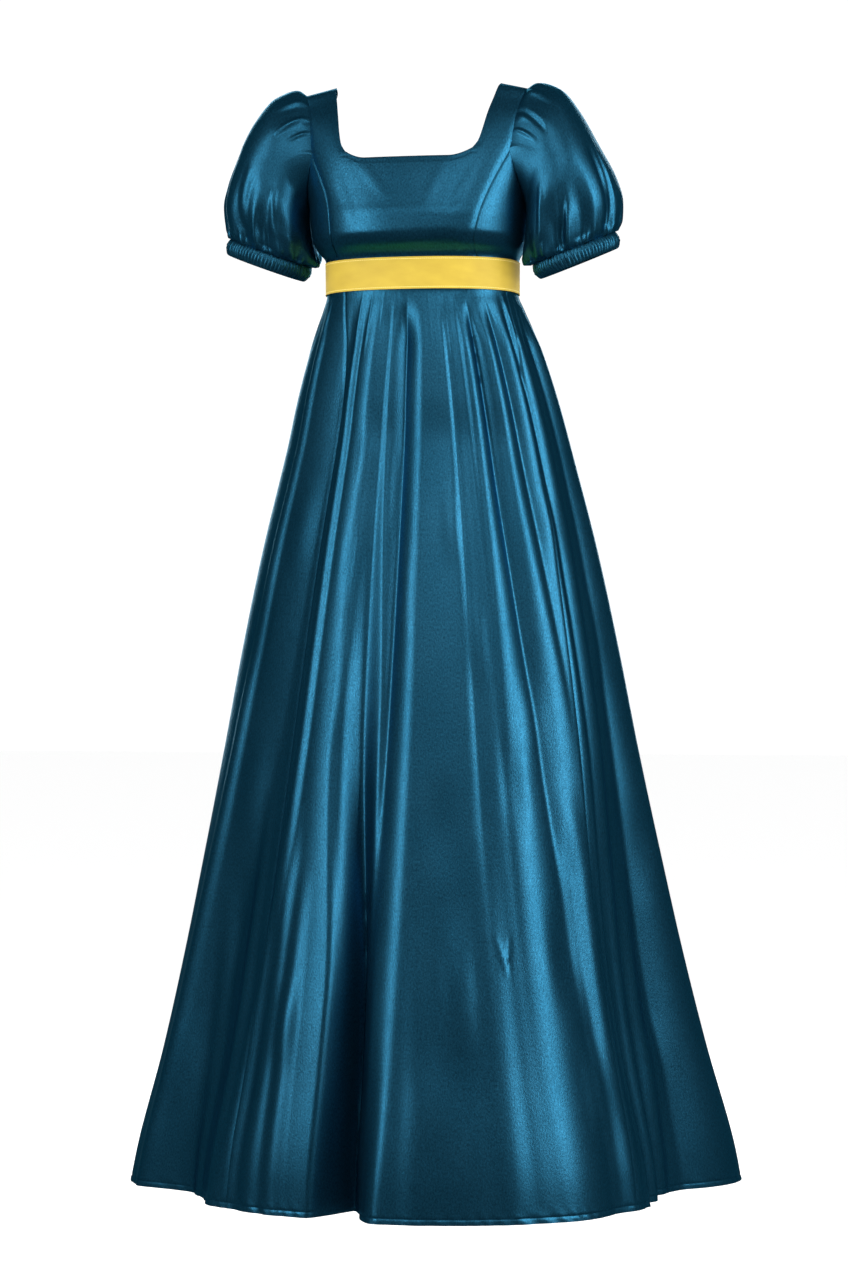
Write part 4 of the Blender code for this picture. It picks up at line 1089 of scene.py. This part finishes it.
def bodice_rows(top):
    """Heights of a bodice grid's rows up to each column's top, closer together near it."""
    even = np.linspace(0.0, 1.0, BODICE_ROWS + 1)
    rise = even + ROW_CROWDING * np.sin(np.pi * even) / np.pi * 2.0
    return BODICE_FOOT + (top[None, :] - BODICE_FOOT) * rise[:, None]


# The front's columns: shares of the neckline's half-width, closer at the corners, and shares
# of a strap's width. FRONT_GAP is the opening left beside each princess seam, in millimetres.
NECK_STEPS = np.concatenate([np.linspace(0.0, 0.62, 20, endpoint=False), np.linspace(0.62, 1.0, 20)])
STRAP_STEPS = np.linspace(0.0, 1.0, 11)
FRONT_GAP = 0.05


def front_body_grid():
    """The front below its straps: places, levels and each column's number from the middle."""
    corner_column, strap_columns = len(NECK_STEPS) - 1, len(STRAP_STEPS) - 1
    last = corner_column + strap_columns
    columns = np.arange(-last, last + 1)
    side, size = np.where(columns > 0, 1, -1), np.abs(columns)
    step = NECK_STEPS[np.minimum(size, corner_column)]
    beyond = np.maximum(0, size - corner_column) / strap_columns
    top = np.where(size <= corner_column, neckline_height(step), NECK_CORNER)
    corner = strap_inner_edge(front_neck_at, side, NECK_CORNER) / front_edge_at(NECK_CORNER)
    share = (corner * step + (1.0 - corner) * beyond) * side
    height = bodice_rows(top)
    left = front_edge_x(-1, height) + FRONT_GAP
    right = front_edge_x(1, height) - FRONT_GAP
    x = (left + right) / 2.0 + share[None, :] * (right - left) / 2.0
    return x, level_of(height), columns


def front_grid():
    """Places, levels and cells of the whole front: its body with both straps joined on."""
    x, level, columns = front_body_grid()
    index = numbered(x)
    xs, levels, cells, count = [x.ravel()], [level.ravel()], [grid_cells(index)], x.size
    rows = strap_levels()[1:]
    heights = bodice_at("height", rows)
    outside = front_edge_at(heights) - FRONT_GAP
    for side in (-1, 1):
        inside = strap_inner_edge(front_neck_at, side, heights)
        strap = side * spread_between(inside, outside, STRAP_STEPS)
        joint = index[-1, columns * side >= len(NECK_STEPS) - 1][::side]
        numbers = np.concatenate([joint[None, :], count + numbered(strap)])
        cells.append(grid_cells(numbers[:, ::side]))
        xs.append(strap.ravel())
        levels.append(np.repeat(rows, len(STRAP_STEPS)))
        count += strap.size
    return np.concatenate(xs), np.concatenate(levels), np.concatenate(cells)


# Soft folds and drags of the bodice front: a line from one place to another (sideways, height),
# half its breadth and its rise, all in millimetres. A trough has a negative rise.
FRONT_DRAGS = (
    (-96.0, -208.0, -20.0, -214.0, 8.0, -1.2),
    (-20.0, -214.0, 66.0, -206.0, 8.0, -1.2),
    (66.0, -188.0, 74.0, -226.0, 5.0, 1.2),
    (-88.0, -120.0, -60.0, -180.0, 10.0, -0.8),
    (-60.0, -104.0, -20.0, -150.0, 12.0, 0.6),
    (50.0, -108.0, 30.0, -160.0, 14.0, 0.7),
    (88.0, -110.0, 60.0, -165.0, 9.0, -0.9),
    (0.0, -228.0, 6.0, -200.0, 7.0, 0.5),
    (-50.0, -232.0, -44.0, -206.0, 6.0, 0.6),
)
# The share of a drag's rise that its ends keep.
DRAG_END_SHARE = 0.35
# The fullness over the bust, in millimetres: its rise, the height of its crest, how far the
# crest climbs on the right-hand side, where it starts and ends, and its fading at the sides.
BUST_RISE = 3.6
BUST_CREST = -199.0
CREST_CLIMB = 26.0
CREST_START = 20.0
CREST_RUN = 90.0
BUST_TOP = -130.0
BUST_FOOT = -221.0
BUST_SIDE = 132.0
BUST_SIDE_RUN = 60.0
# The neck edge is turned over a facing, which shows as a faint line this far in from it.
FACING = 4.0
FAR_OFF = 99.0


def drag_offset(x, height):
    total = np.zeros_like(x)
    for start, start_height, end, end_height, width, rise in FRONT_DRAGS:
        run, drop = end - start, end_height - start_height
        share, away = along_line(x - start, height - start_height, run, drop)
        swelling = DRAG_END_SHARE + (1.0 - DRAG_END_SHARE) * np.sin(np.pi * share)
        total += rise * swelling * bump(away / width)
    return total


def bust_offset(x, height):
    """The soft fullness over the bust, highest just above the waist seam."""
    crest = BUST_CREST + CREST_CLIMB * np.clip((x - CREST_START) / CREST_RUN, 0.0, 1.0) ** 2
    above = smoothstep((height - BUST_TOP) / (crest - BUST_TOP))
    below = smoothstep((height - BUST_FOOT) / (crest - BUST_FOOT))
    across = smoothstep((BUST_SIDE - np.abs(x)) / BUST_SIDE_RUN)
    return BUST_RISE * np.where(height > crest, above, below) * across


def neck_dip(x, height):
    """How deep the front's neck edge lies: it is drawn in, and so is its facing's line."""
    side = np.where(x > 0, 1, -1)
    beside = np.abs(x) - strap_inner_edge(front_neck_at, side, height)
    corner = strap_inner_edge(front_neck_at, side, NECK_CORNER)
    below = neckline_height(np.clip(np.abs(x) / corner, 0.0, 1.0)) - height
    below = np.where(np.abs(x) <= corner, below, FAR_OFF)
    away = np.where(height > NECK_CORNER, beside, below)
    return valley(away - FACING, *NECK_DIP) + valley(away, *NECK_DIP)


def front_sheet(x, level):
    """Outer face of the bodice front, with its drags and its fullness."""
    points = bodice_sheet(x, level, 1)
    height = points[..., 2] / MM
    points[..., 1] -= (drag_offset(x, height) + bust_offset(x, height)) * MM
    return points


def make_bodice_front(material):
    x, level, cells = front_grid()
    points = front_sheet(x, level)
    inside = np.minimum(level, TOP_LEVEL - BODICE_PROBE[1])
    normals = surface_normals(front_sheet, x, inside, BODICE_PROBE)
    height = bodice_at("height", level)
    depth = np.zeros_like(x)
    for side in (-1, 1):
        depth += valley(np.abs(front_edge_x(side, height) - x), *FRONT_SEAM_DIP)
    points = drawn_in(points, normals, depth + neck_dip(x, height))
    chart = np.stack([x * MM, height * MM], axis=1)
    return cloth_wall("bodice_front", points, normals, cells, chart, material)


# What comes in pairs is made at +X, and the left-hand one, whose side is -1, is mirrored.
SIDE_COLUMNS = 30


def make_bodice_side(node, side, material):
    def surface(angle, level):
        points = bodice_ring(angle, level)
        points[..., 1] -= bust_offset(points[..., 0] / MM * side, points[..., 2] / MM) * MM
        return points

    share = 1.0 - np.cos(np.pi / 2.0 * np.linspace(0.0, 1.0, SIDE_COLUMNS + 1))
    level = level_of(bodice_rows(armhole_curve(share, NECK_CORNER)))
    seam_height = bodice_rows(np.array([NECK_CORNER]))
    first = np.abs(angle_at_x(front_edge_x(side, seam_height), level_of(seam_height)))
    angle = first + (SIDE_SEAM_ANGLE - first) * share[None, :]
    points = surface(angle, level)
    normals = surface_normals(surface, angle, level, BODICE_PROBE)
    chart = flat_chart(points)
    from_left, from_right = from_seams(chart)
    from_top = np.linalg.norm(points - points[-1:], axis=2) / MM
    depth = valley(from_left, *FRONT_SEAM_DIP) + valley(from_right, *SIDE_SEAM_DIP)
    points = drawn_in(points, normals, depth + valley(from_top, *ARMHOLE_DIP))
    return cloth_wall(node, points, normals, grid_cells(numbered(angle)), chart, material, side < 0)


BACK_SIDE_COLUMNS = 20
BACK_STRAP_COLUMNS = 8
BACK_CENTRE_COLUMNS = 26


def back_columns(side):
    """Angle and top height of each column of the back, from side seam to centre back."""
    strap_x = back_armhole_at(BACK_ARMHOLE_FOOT)
    neck_x = strap_inner_edge(back_neck_at, side, NECK_CORNER)
    end = 180.0 - angle_at_x(strap_x, level_of(BACK_ARMHOLE_FOOT))
    share = np.sin(np.pi / 2.0 * np.linspace(0.0, 1.0, BACK_SIDE_COLUMNS + 1))
    angles = [SIDE_SEAM_ANGLE + (end - SIDE_SEAM_ANGLE) * share]
    tops = [armhole_curve(1.0 - share, BACK_ARMHOLE_FOOT)]
    share = np.linspace(0.0, 1.0, BACK_STRAP_COLUMNS + 1)[1:]
    top = BACK_ARMHOLE_FOOT + (NECK_CORNER - BACK_ARMHOLE_FOOT) * share
    angles.append(180.0 - angle_at_x(strap_x + (neck_x - strap_x) * share, level_of(top)))
    tops.append(top)
    share = 1.0 - np.linspace(0.0, 1.0, BACK_CENTRE_COLUMNS + 1)[1:]
    top = neckline_height(share)
    angles.append(180.0 - angle_at_x(neck_x * share, level_of(top)))
    tops.append(top)
    return np.concatenate(angles), np.concatenate(tops)


def back_sheet(x, level):
    return bodice_sheet(x, level, -1)


def back_strap(side):
    """Points and normals of the back's strap, above the neck's corner."""
    levels = strap_levels()[1:]
    heights = bodice_at("height", levels)
    inside = strap_inner_edge(back_neck_at, side, heights)
    share = np.linspace(0.0, 1.0, BACK_STRAP_COLUMNS + 1)
    x = spread_between(back_armhole_at(heights), inside, share)
    level = np.repeat(levels[:, None], len(share), axis=1)
    low = np.minimum(level, TOP_LEVEL - BODICE_PROBE[1])
    return back_sheet(x, level), -surface_normals(back_sheet, x, low, BODICE_PROBE)


def make_bodice_back(node, side, material):
    columns, tops = back_columns(side)
    level = level_of(bodice_rows(tops))
    angle = np.repeat(columns[None, :], len(level), axis=0)
    points = bodice_ring(angle, level)
    normals = surface_normals(bodice_ring, angle, level, BODICE_PROBE)
    from_side = np.linalg.norm(points - points[:, :1], axis=2) / MM
    from_middle = np.abs(points[..., 0]) / MM
    depth = valley(from_side, *SIDE_SEAM_DIP) + valley(from_middle, *CENTRE_BACK_DIP)
    strap, strap_normals = back_strap(side)
    index = numbered(angle)
    joint = index[-1, BACK_SIDE_COLUMNS:BACK_SIDE_COLUMNS + BACK_STRAP_COLUMNS + 1]
    numbers = np.concatenate([joint[None, :], index.size + numbered(strap[..., 0])])
    cells = np.concatenate([grid_cells(index), grid_cells(numbers)])
    whole = np.concatenate([points.reshape(-1, 3), strap.reshape(-1, 3)])
    normals = np.concatenate([normals.reshape(-1, 3), strap_normals.reshape(-1, 3)])
    depth = np.concatenate([depth.ravel(), np.zeros(len(whole) - index.size)])
    outer = drawn_in(whole, normals, depth)
    return cloth_wall(node, outer, normals, cells, whole[:, [0, 2]], material, side < 0)


# ---------------------------------------------------------------- sleeves and cuffs

def armhole_outline():
    """The right armhole as a ring of turns, in degrees from the top, and its points."""
    levels = strap_levels()
    heights = bodice_at("height", levels)
    ring = [bodice_sheet(front_edge_at(heights), levels, 1)]
    start = angle_at_x(front_edge_at(NECK_CORNER), levels[0])
    share = 1.0 - np.cos(np.pi / 2.0 * np.linspace(0.0, 1.0, SIDE_COLUMNS + 1)[1:])
    low = armhole_curve(share, NECK_CORNER)
    ring.append(bodice_ring(start + (SIDE_SEAM_ANGLE - start) * share, level_of(low)))
    angles, tops = back_columns(-1)
    under_back = slice(1, BACK_SIDE_COLUMNS + 1)
    ring.append(bodice_ring(angles[under_back], level_of(tops[under_back])))
    ring.append(back_sheet(back_armhole_at(heights[1:-1]), levels[1:-1]))
    ring = np.concatenate(ring)
    centre = place(0.0, SLEEVE_FORWARD, ARMHOLE_MIDDLE)
    turns = np.degrees(np.arctan2(centre[1] - ring[:, 1], ring[:, 2] - centre[2])) % 360.0
    order = np.argsort(turns)
    return turns[order], ring[order]


def armhole_point(outline, turn):
    turns, ring = outline
    readings = [np.interp(turn % 360.0, turns, ring[:, k], period=360.0) for k in range(3)]
    return np.stack(readings, axis=-1)


# Small puckers of the sleeve: turn and place along of each end, half-breadth in degrees, rise.
SLEEVE_PUCKERS = {
    -1: (
        (34.0, 0.02, 42.0, 0.24, 4.5, 2.4),
        (52.0, 0.02, 66.0, 0.28, 5.0, 2.6),
        (70.0, 0.03, 78.0, 0.20, 3.5, 1.6),
        (12.0, 0.02, 10.0, 0.22, 4.5, 1.6),
        (-8.0, 0.02, -10.0, 0.24, 4.5, 2.0),
        (64.0, 0.50, 70.0, 0.86, 9.0, 3.0),
        (24.0, 0.52, 30.0, 0.90, 7.0, -2.5),
        (100.0, 0.40, 108.0, 0.80, 7.0, 2.0),
    ),
    1: (
        (30.0, 0.02, 40.0, 0.26, 5.0, 2.4),
        (50.0, 0.02, 70.0, 0.30, 6.0, -2.6),
        (74.0, 0.03, 84.0, 0.24, 4.0, 1.6),
        (8.0, 0.02, 6.0, 0.24, 4.5, 2.0),
        (-12.0, 0.02, -12.0, 0.24, 4.5, 2.0),
        (30.0, 0.52, 34.0, 0.82, 8.0, -4.0),
        (18.0, 0.50, 20.0, 0.84, 4.5, 2.2),
        (80.0, 0.56, 96.0, 0.92, 7.0, -3.0),
        (108.0, 0.40, 118.0, 0.80, 7.0, 2.0),
    ),
}
PUCKER_POWER = 0.8


def cuff_gathers(turn, along):
    """Soft gathers that the elastic draws up in the sleeve, uneven in height and length."""
    total = np.zeros_like(turn)
    for k in range(CUFF_GATHERS):
        centre = 16.4 * k + 3.4 * math.sin(2.7 * k)
        reach = 0.26 + 0.10 * math.sin(1.3 * k + 0.5) + 0.06 * math.sin(4.1 * k)
        rise = 3.8 + 1.6 * math.sin(3.7 * k)
        width = 5.4 + 1.2 * math.sin(1.9 * k)
        grown = smoothstep((along - (1.0 - reach)) / reach)
        total += rise * grown * bump(turned_apart(turn, centre) / width)
    fine = smoothstep((along - FINE_GATHER_START) / (1.0 - FINE_GATHER_START))
    return total + FINE_GATHER_RISE * fine * np.cos(np.radians(turn * CUFF_RIBS))


def sleeve_relief(turn, along, side):
    """Gathers at the sleeve head and hollows above the cuff, in millimetres outwards."""
    total = ridges(turn, along, SLEEVE_PUCKERS[side], PUCKER_POWER)
    grown = smoothstep(along / HEAD_GROWTH)
    grown = grown * smoothstep((HEAD_GATHER_END - along) / HEAD_FADING)
    for centre, rise in HEAD_GATHERS:
        total += HEAD_SHARE * rise * grown * bump(turned_apart(turn, centre) / HEAD_GATHER_WIDTH)
    grown = smoothstep((along - CUFF_HOLLOW_START) / CUFF_HOLLOW_GROWTH)
    grown = grown * smoothstep((1.0 - along) / CUFF_HOLLOW_FADING)
    for centre, depth in CUFF_HOLLOWS:
        total -= depth * grown * bump(turned_apart(turn, centre) / CUFF_HOLLOW_WIDTH)
    return total + cuff_gathers(turn, along)


def hung(points, share, side):
    """Lower points by a share of their sleeve's sag, and tip them by a share of its nod."""
    reach = (SHOULDER_FORWARD - SLEEVE_FORWARD * MM) - points[..., 1]
    drop = SLEEVE_SAG[side] * MM + reach * math.tan(math.radians(CUFF_NOD[side]))
    lowered = points.copy()
    lowered[..., 2] -= drop * share
    return lowered


def clear_of_bodice(points, gap):
    """Push points of the sleeve straight out until they stand a gap in mm off the bodice."""
    height = np.clip(points[..., 2] / MM, WAIST, -1.0)
    level = level_of(height)
    front, back = bodice_at("front", level), bodice_at("back", level)
    middle = (front - back) / 2.0
    x = points[..., 0] / MM
    forward = (SHOULDER_FORWARD - points[..., 1]) / MM - middle
    half_width, squareness = bodice_at("half_width", level), bodice_at("squareness", level)
    reach = np.maximum(1.0, np.hypot(x, forward))
    need = oval_radius(np.arctan2(x, forward), half_width, (front + back) / 2.0, squareness) + gap
    pushed = smoothstep((PUSH_TOP - height) / PUSH_RUN)
    grow = 1.0 + np.maximum(0.0, need / reach - 1.0) * pushed
    return place(x * grow, forward * grow + middle, points[..., 2] / MM)


def free_sleeve(turn, along, side):
    """The sleeve's own oval rings, before its head is drawn in to the armhole."""
    outer_end = place(sleeve_at("outer_x", along), SLEEVE_FORWARD, sleeve_at("outer_height", along))
    inner_end = place(sleeve_at("inner_x", along), SLEEVE_FORWARD, sleeve_at("inner_height", along))
    angle = np.radians(turn)
    length = np.linalg.norm(outer_end - inner_end, axis=-1)
    deep = sleeve_at("half_depth", along)
    radius = oval_radius(angle, deep, length / 2.0 / MM, sleeve_at("squareness", along))
    radius = (radius + sleeve_relief(turn, along, side)) * MM
    up = (outer_end - inner_end) / length[..., None]
    free = (outer_end + inner_end) / 2.0 + up * (radius * np.cos(angle))[..., None]
    free[..., 1] -= radius * np.sin(angle)
    slack = SLEEVE_SLACK[side] * MM * bump((along - SLACK_MIDDLE) / SLACK_REACH)
    free[..., 0] -= slack * np.maximum(0.0, np.cos(angle))
    return hung(free, smoothstep((along - HANG_START) / (1.0 - HANG_START)), side)


def sleeve_surface(outline, turn, along, side):
    """Outer face of the right sleeve; turn runs from the top over the front and back."""
    free, start = free_sleeve(turn, along, side), free_sleeve(turn, np.zeros_like(along), side)
    sewn = armhole_point(outline, turn) + np.array([-SEWN_INSIDE, 0.0, 0.0])
    sewn[..., 1] += SEWN_IN * np.sin(np.radians(turn))
    left = 1.0 - smoothstep(along / HEAD_BLEND)
    points = free + (sewn - start) * left[..., None]
    gap = SEAM_CLEARANCE + ADDED_CLEARANCE * smoothstep(along / CLEARANCE_RUN)
    return clear_of_bodice(points, gap)


def tube_wall(node, surface, rows, columns, limits, probe, size, material, mirrored, thickness):
    """A closed tube of cloth: rows of points, read as surface(turn, row), right round it.

    limits keep the normals' readings inside the first and last row. size is the flat cloth's,
    in metres, that the weave is laid out on.
    """
    turns = np.arange(columns) * 360.0 / columns
    row, turn = np.meshgrid(rows, turns, indexing="ij")
    points = surface(turn, row)
    normals = surface_normals(surface, turn, np.clip(row, *limits), probe)
    chart = np.stack([turn / 360.0 * size[0], row * size[1]], axis=2)
    cells = grid_cells(numbered(turn), closed=True)
    return cloth_wall(node, points, normals, cells, chart, material, mirrored, thickness)


SLEEVE_COLUMN_COUNT = 324
SLEEVE_ROWS = np.concatenate([
    np.linspace(0.0, 0.12, 12, endpoint=False),
    np.linspace(0.12, 0.86, 52, endpoint=False),
    np.linspace(0.86, 1.0, 20),
])
SLEEVE_LIMITS = (0.006, 0.994)
SLEEVE_PROBE = (0.6, 0.005)
SLEEVE_CHART = (0.44, 0.24)


def make_sleeve(node, side, material):
    outline = armhole_outline()

    def surface(turn, along):
        return sleeve_surface(outline, turn, along, side)

    return tube_wall(node, surface, SLEEVE_ROWS, SLEEVE_COLUMN_COUNT, SLEEVE_LIMITS,
                     SLEEVE_PROBE, SLEEVE_CHART, material, side < 0, CLOTH_THICKNESS)


# The shirred cuff's rows from its top down, and the rows of elastic that draw it in: how
# deep each lies as a share of the ribs, how far that reaches, and its depth in millimetres.
RIB_COLUMNS = 6
CUFF_DOWNS = np.concatenate([[0.0, 0.03], np.linspace(0.08, 0.92, 9), [0.97, 1.0]])
CUFF_LIMITS = (0.01, 0.99)
CUFF_PROBE = (0.15, -0.01)
CUFF_CHART = (0.40, 0.02)
ELASTIC_ROWS = (0.25, 0.5, 0.75)
ELASTIC_DIP = (0.35, 0.06)
ELASTIC_DEPTH = 0.4
RIB_SWELL = 2.1
CUFF_END_DEPTH = 1.3
CUFF_END_REACH = 0.28


def make_cuff(node, side, material):
    """A shirred cuff: soft ribs of cloth drawn up on rows of elastic, a little uneven."""
    lean = math.radians(CUFF_TURN)
    across = np.array([math.sin(lean), 0.0, math.cos(lean)])
    down_way = np.array([math.cos(lean), 0.0, -math.sin(lean)])
    middle = place(CUFF_TOP[0], SLEEVE_FORWARD, CUFF_TOP[1])

    def surface(turn, down):
        angle = np.radians(turn)
        rib = turn * CUFF_RIBS / 360.0
        number = np.floor(rib)
        uneven = 1.0 + 0.25 * np.sin(2.9 * number) * np.sin(np.pi * (rib - number)) ** 2
        lean_over = 0.10 * np.sin(5.0 * down + number * 1.7)
        shape = np.sin(np.pi * (rib + lean_over)) ** 2
        rows = sum(valley(down - row, *ELASTIC_DIP) for row in ELASTIC_ROWS)
        rib_rise = CUFF_RIB_RISE * RIB_SWELL * cuff_at("rib_share", down)
        rise = rib_rise * shape * uneven * (1.0 - rows)
        near_end = np.maximum(0.0, np.abs(down - 0.5) * 2.0 - (1.0 - CUFF_END_REACH))
        ends = CUFF_END_DEPTH * near_end ** 2 / CUFF_END_REACH ** 2
        radius = (cuff_at("radius", down) + rise - ends - rows * ELASTIC_DEPTH) * MM
        spoke = across * np.cos(angle)[..., None]
        spoke[..., 1] -= np.sin(angle)
        points = middle + down_way * (down * CUFF_DEPTH * MM)[..., None]
        return hung(points + spoke * radius[..., None], 1.0, side)

    return tube_wall(node, surface, CUFF_DOWNS[::-1], CUFF_RIBS * RIB_COLUMNS, CUFF_LIMITS,
                     CUFF_PROBE, CUFF_CHART, material, side < 0, CUFF_THICKNESS)


# ---------------------------------------------------------------- ribbon

# The ribbon's outer face stands off the gown by a clearance and its own thickness. Its rows
# are shares of half its width, and its ends meet at the centre back.
RIBBON_CLEARANCE = 0.5 * MM
RIBBON_THICKNESS = 1.0 * MM
RIBBON_ROWS = (-1.0, -0.97, -0.9, -0.8, -0.5, -0.2, 0.1, 0.4, 0.7, 0.85, 0.92, 0.97, 1.0)
RIBBON_TURNS = np.linspace(-179.85, 179.85, 721)
RIBBON_PROBE = (0.5, 1.0)
# It follows the waist seam's ring more than the cloth above and below it.
RIBBON_LEVELLING = 0.75
SELVEDGE = 0.94


def waist_surface(angle, height):
    """Outer face of the gown just above and below the waist seam, without its small tucks."""
    above = bodice_ring(angle, level_of(height))
    turn = np.radians(angle)
    radius = skirt_ring_radius(turn, height)
    forward = skirt_at("forward", height) + radius * np.cos(turn)
    below = place(radius * np.sin(turn), forward, height)
    return np.where((height > WAIST)[..., None], above, below)


def make_ribbon(material):
    share, angle = np.meshgrid(RIBBON_ROWS, RIBBON_TURNS, indexing="ij")
    height = WAIST + RIBBON_WIDTH / 2.0 / MM * share
    base = waist_surface(angle, height)
    middle = waist_surface(angle, np.full_like(height, WAIST - 0.5))
    base[..., :2] = middle[..., :2] * RIBBON_LEVELLING + base[..., :2] * (1.0 - RIBBON_LEVELLING)
    outward = surface_normals(waist_surface, angle, np.full_like(height, WAIST - 2.0), RIBBON_PROBE)
    outward[..., 2] = 0.0
    outward /= np.linalg.norm(outward, axis=-1, keepdims=True)
    wave = 0.35 * np.sin(np.radians(angle * 7.0) + 1.0) + 0.25 * np.sin(np.radians(angle * 17.0))
    edge = 0.25 * (np.abs(share) > SELVEDGE) + 0.12 * wave * np.abs(share) ** 3
    stand = RIBBON_CLEARANCE + RIBBON_THICKNESS + edge * MM
    points = base + outward * stand[..., None]
    cells = grid_cells(numbered(angle))
    return cloth_wall("ribbon", points, outward, cells, flat_chart(points), material)


# ---------------------------------------------------------------- the studio

# Softboxes: angle to the camera's right, distance, height, size and power.
STUDIO_LIGHTS = (
    ("left_softbox", -53.0, 3.0, 0.30, (1.0, 2.3), 45.0),
    ("right_softbox", 56.0, 3.0, 0.30, (1.1, 2.3), 64.0),
    ("high_front", 0.0, 3.2, 1.5, (2.2, 1.4), 27.0),
    ("left_back", -164.0, 3.4, 0.30, (0.9, 2.3), 20.0),
    ("right_back", 166.0, 3.4, 0.30, (0.9, 2.3), 22.0),
    ("high_back", 180.0, 3.2, 1.6, (2.0, 1.2), 14.0),
)
LIGHT_AIM = Vector((0.0, SHOULDER_FORWARD, -0.7))
SURROUNDINGS = (1.07, 1.07, 1.07, 1.0)
REFLECTED_SURROUNDINGS = (0.070, 0.095, 0.102, 1.0)
FLOOR_Z = -1.62
FLOOR_SIZE = 60.0
FLOOR_WHITE = (0.99, 0.99, 0.99, 1.0)

# The camera, in degrees, metres and millimetres. Its shifts are pixels of the picture's height.
CAMERA_AZIMUTH = 12.5
CAMERA_DISTANCE = 4.6
CAMERA_HEIGHT = -0.726
CAMERA_LENS = 103.1
CAMERA_SENSOR = 36.0
PICTURE_HEIGHT = 1264.0
SHIFT_RIGHT = 1.0
SHIFT_UP = 29.0


def from_camera(turn, distance, height):
    """A place at an angle in degrees to the camera's right, seen from the gown."""
    way = math.radians(CAMERA_AZIMUTH + turn)
    return (distance * math.sin(way), SHOULDER_FORWARD - distance * math.cos(way), height)


def soft_light(name, turn, distance, height, size, power):
    light = bpy.data.lights.new(name, "AREA")
    light.shape = "RECTANGLE"
    light.size, light.size_y = size
    light.energy = power
    lamp = bpy.data.objects.new(name, light)
    bpy.context.scene.collection.objects.link(lamp)
    lamp.location = from_camera(turn, distance, height)
    aim = LIGHT_AIM - Vector(from_camera(turn, distance, height))
    lamp.rotation_euler = aim.to_track_quat("-Z", "Y").to_euler()


def make_world():
    """White surroundings that the satin itself reflects only dimly."""
    world = bpy.data.worlds.new("studio")
    bpy.context.scene.world = world
    world.use_nodes = True
    nodes, links = world.node_tree.nodes, world.node_tree.links
    path = nodes.new("ShaderNodeLightPath")
    blend = colour_mix(nodes)
    blend.inputs["A"].default_value = SURROUNDINGS
    blend.inputs["B"].default_value = REFLECTED_SURROUNDINGS
    links.new(path.outputs["Is Glossy Ray"], blend.inputs["Factor"])
    world.cycles.sampling_method = "NONE"
    links.new(blend.outputs["Result"], nodes["Background"].inputs["Color"])


def make_studio():
    bpy.context.scene.view_settings.view_transform = "Standard"
    make_world()
    bpy.ops.mesh.primitive_plane_add(size=FLOOR_SIZE, location=(0.0, 0.0, FLOOR_Z))
    floor = bpy.context.object
    floor.name = "floor"
    floor.data.materials.append(plain_material("floor_white", FLOOR_WHITE, 1.0))
    floor.visible_glossy = False
    for light in STUDIO_LIGHTS:
        soft_light(*light)


def make_camera():
    camera = bpy.data.cameras.new("camera")
    camera.sensor_fit = "VERTICAL"
    camera.sensor_height = CAMERA_SENSOR
    camera.lens = CAMERA_LENS
    camera.shift_x = SHIFT_RIGHT / PICTURE_HEIGHT
    camera.shift_y = SHIFT_UP / PICTURE_HEIGHT
    stand = bpy.data.objects.new("camera", camera)
    bpy.context.scene.collection.objects.link(stand)
    stand.location = from_camera(0.0, CAMERA_DISTANCE, CAMERA_HEIGHT)
    stand.rotation_euler = (math.radians(90.0), 0.0, math.radians(CAMERA_AZIMUTH))
    bpy.context.scene.camera = stand


# ---------------------------------------------------------------- putting it together

def dressed(piece, node):
    """Hang a piece of cloth on the root body and hide the solid that it replaces."""
    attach(piece, "root")
    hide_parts(node)


def main():
    satin = satin_material("teal_satin", TEAL, 0.36, 0.93)
    # The cuffs get a darker copy of the satin, which is painted shade.
    cuff_satin = satin_material("teal_satin_shirred_painted_shade", SHIRRED_TEAL_PAINTED_SHADE, 0.38, 0.90)
    grosgrain = ribbon_material()
    for node, start, end, end_turn, columns, flat, area in SKIRT_PANELS:
        panel = make_skirt_panel(node, start, end, end_turn, columns, satin)
        dressed(panel, node)
    flat, area = FLAT_SIZES["bodice_front"]
    dressed(make_bodice_front(satin), "bodice_front")
    pairs = (
        ("bodice_side_front", make_bodice_side, satin, "satin", "stretched"),
        ("bodice_back", make_bodice_back, satin, "satin", "stretched"),
        ("sleeve", make_sleeve, satin, "satin", "gathered"),
        ("cuff", make_cuff, cuff_satin, "cuff_satin", "gathered"),
    )
    for word, side in (("left", -1), ("right", 1)):
        for form, make, cloth, slot, held in pairs:
            node = form + "_" + word
            flat, area = FLAT_SIZES[form]
            dressed(make(node, side, cloth), node)
    flat, area = FLAT_SIZES["ribbon"]
    dressed(make_ribbon(grosgrain), "ribbon")
    make_studio()
    make_camera()


main()
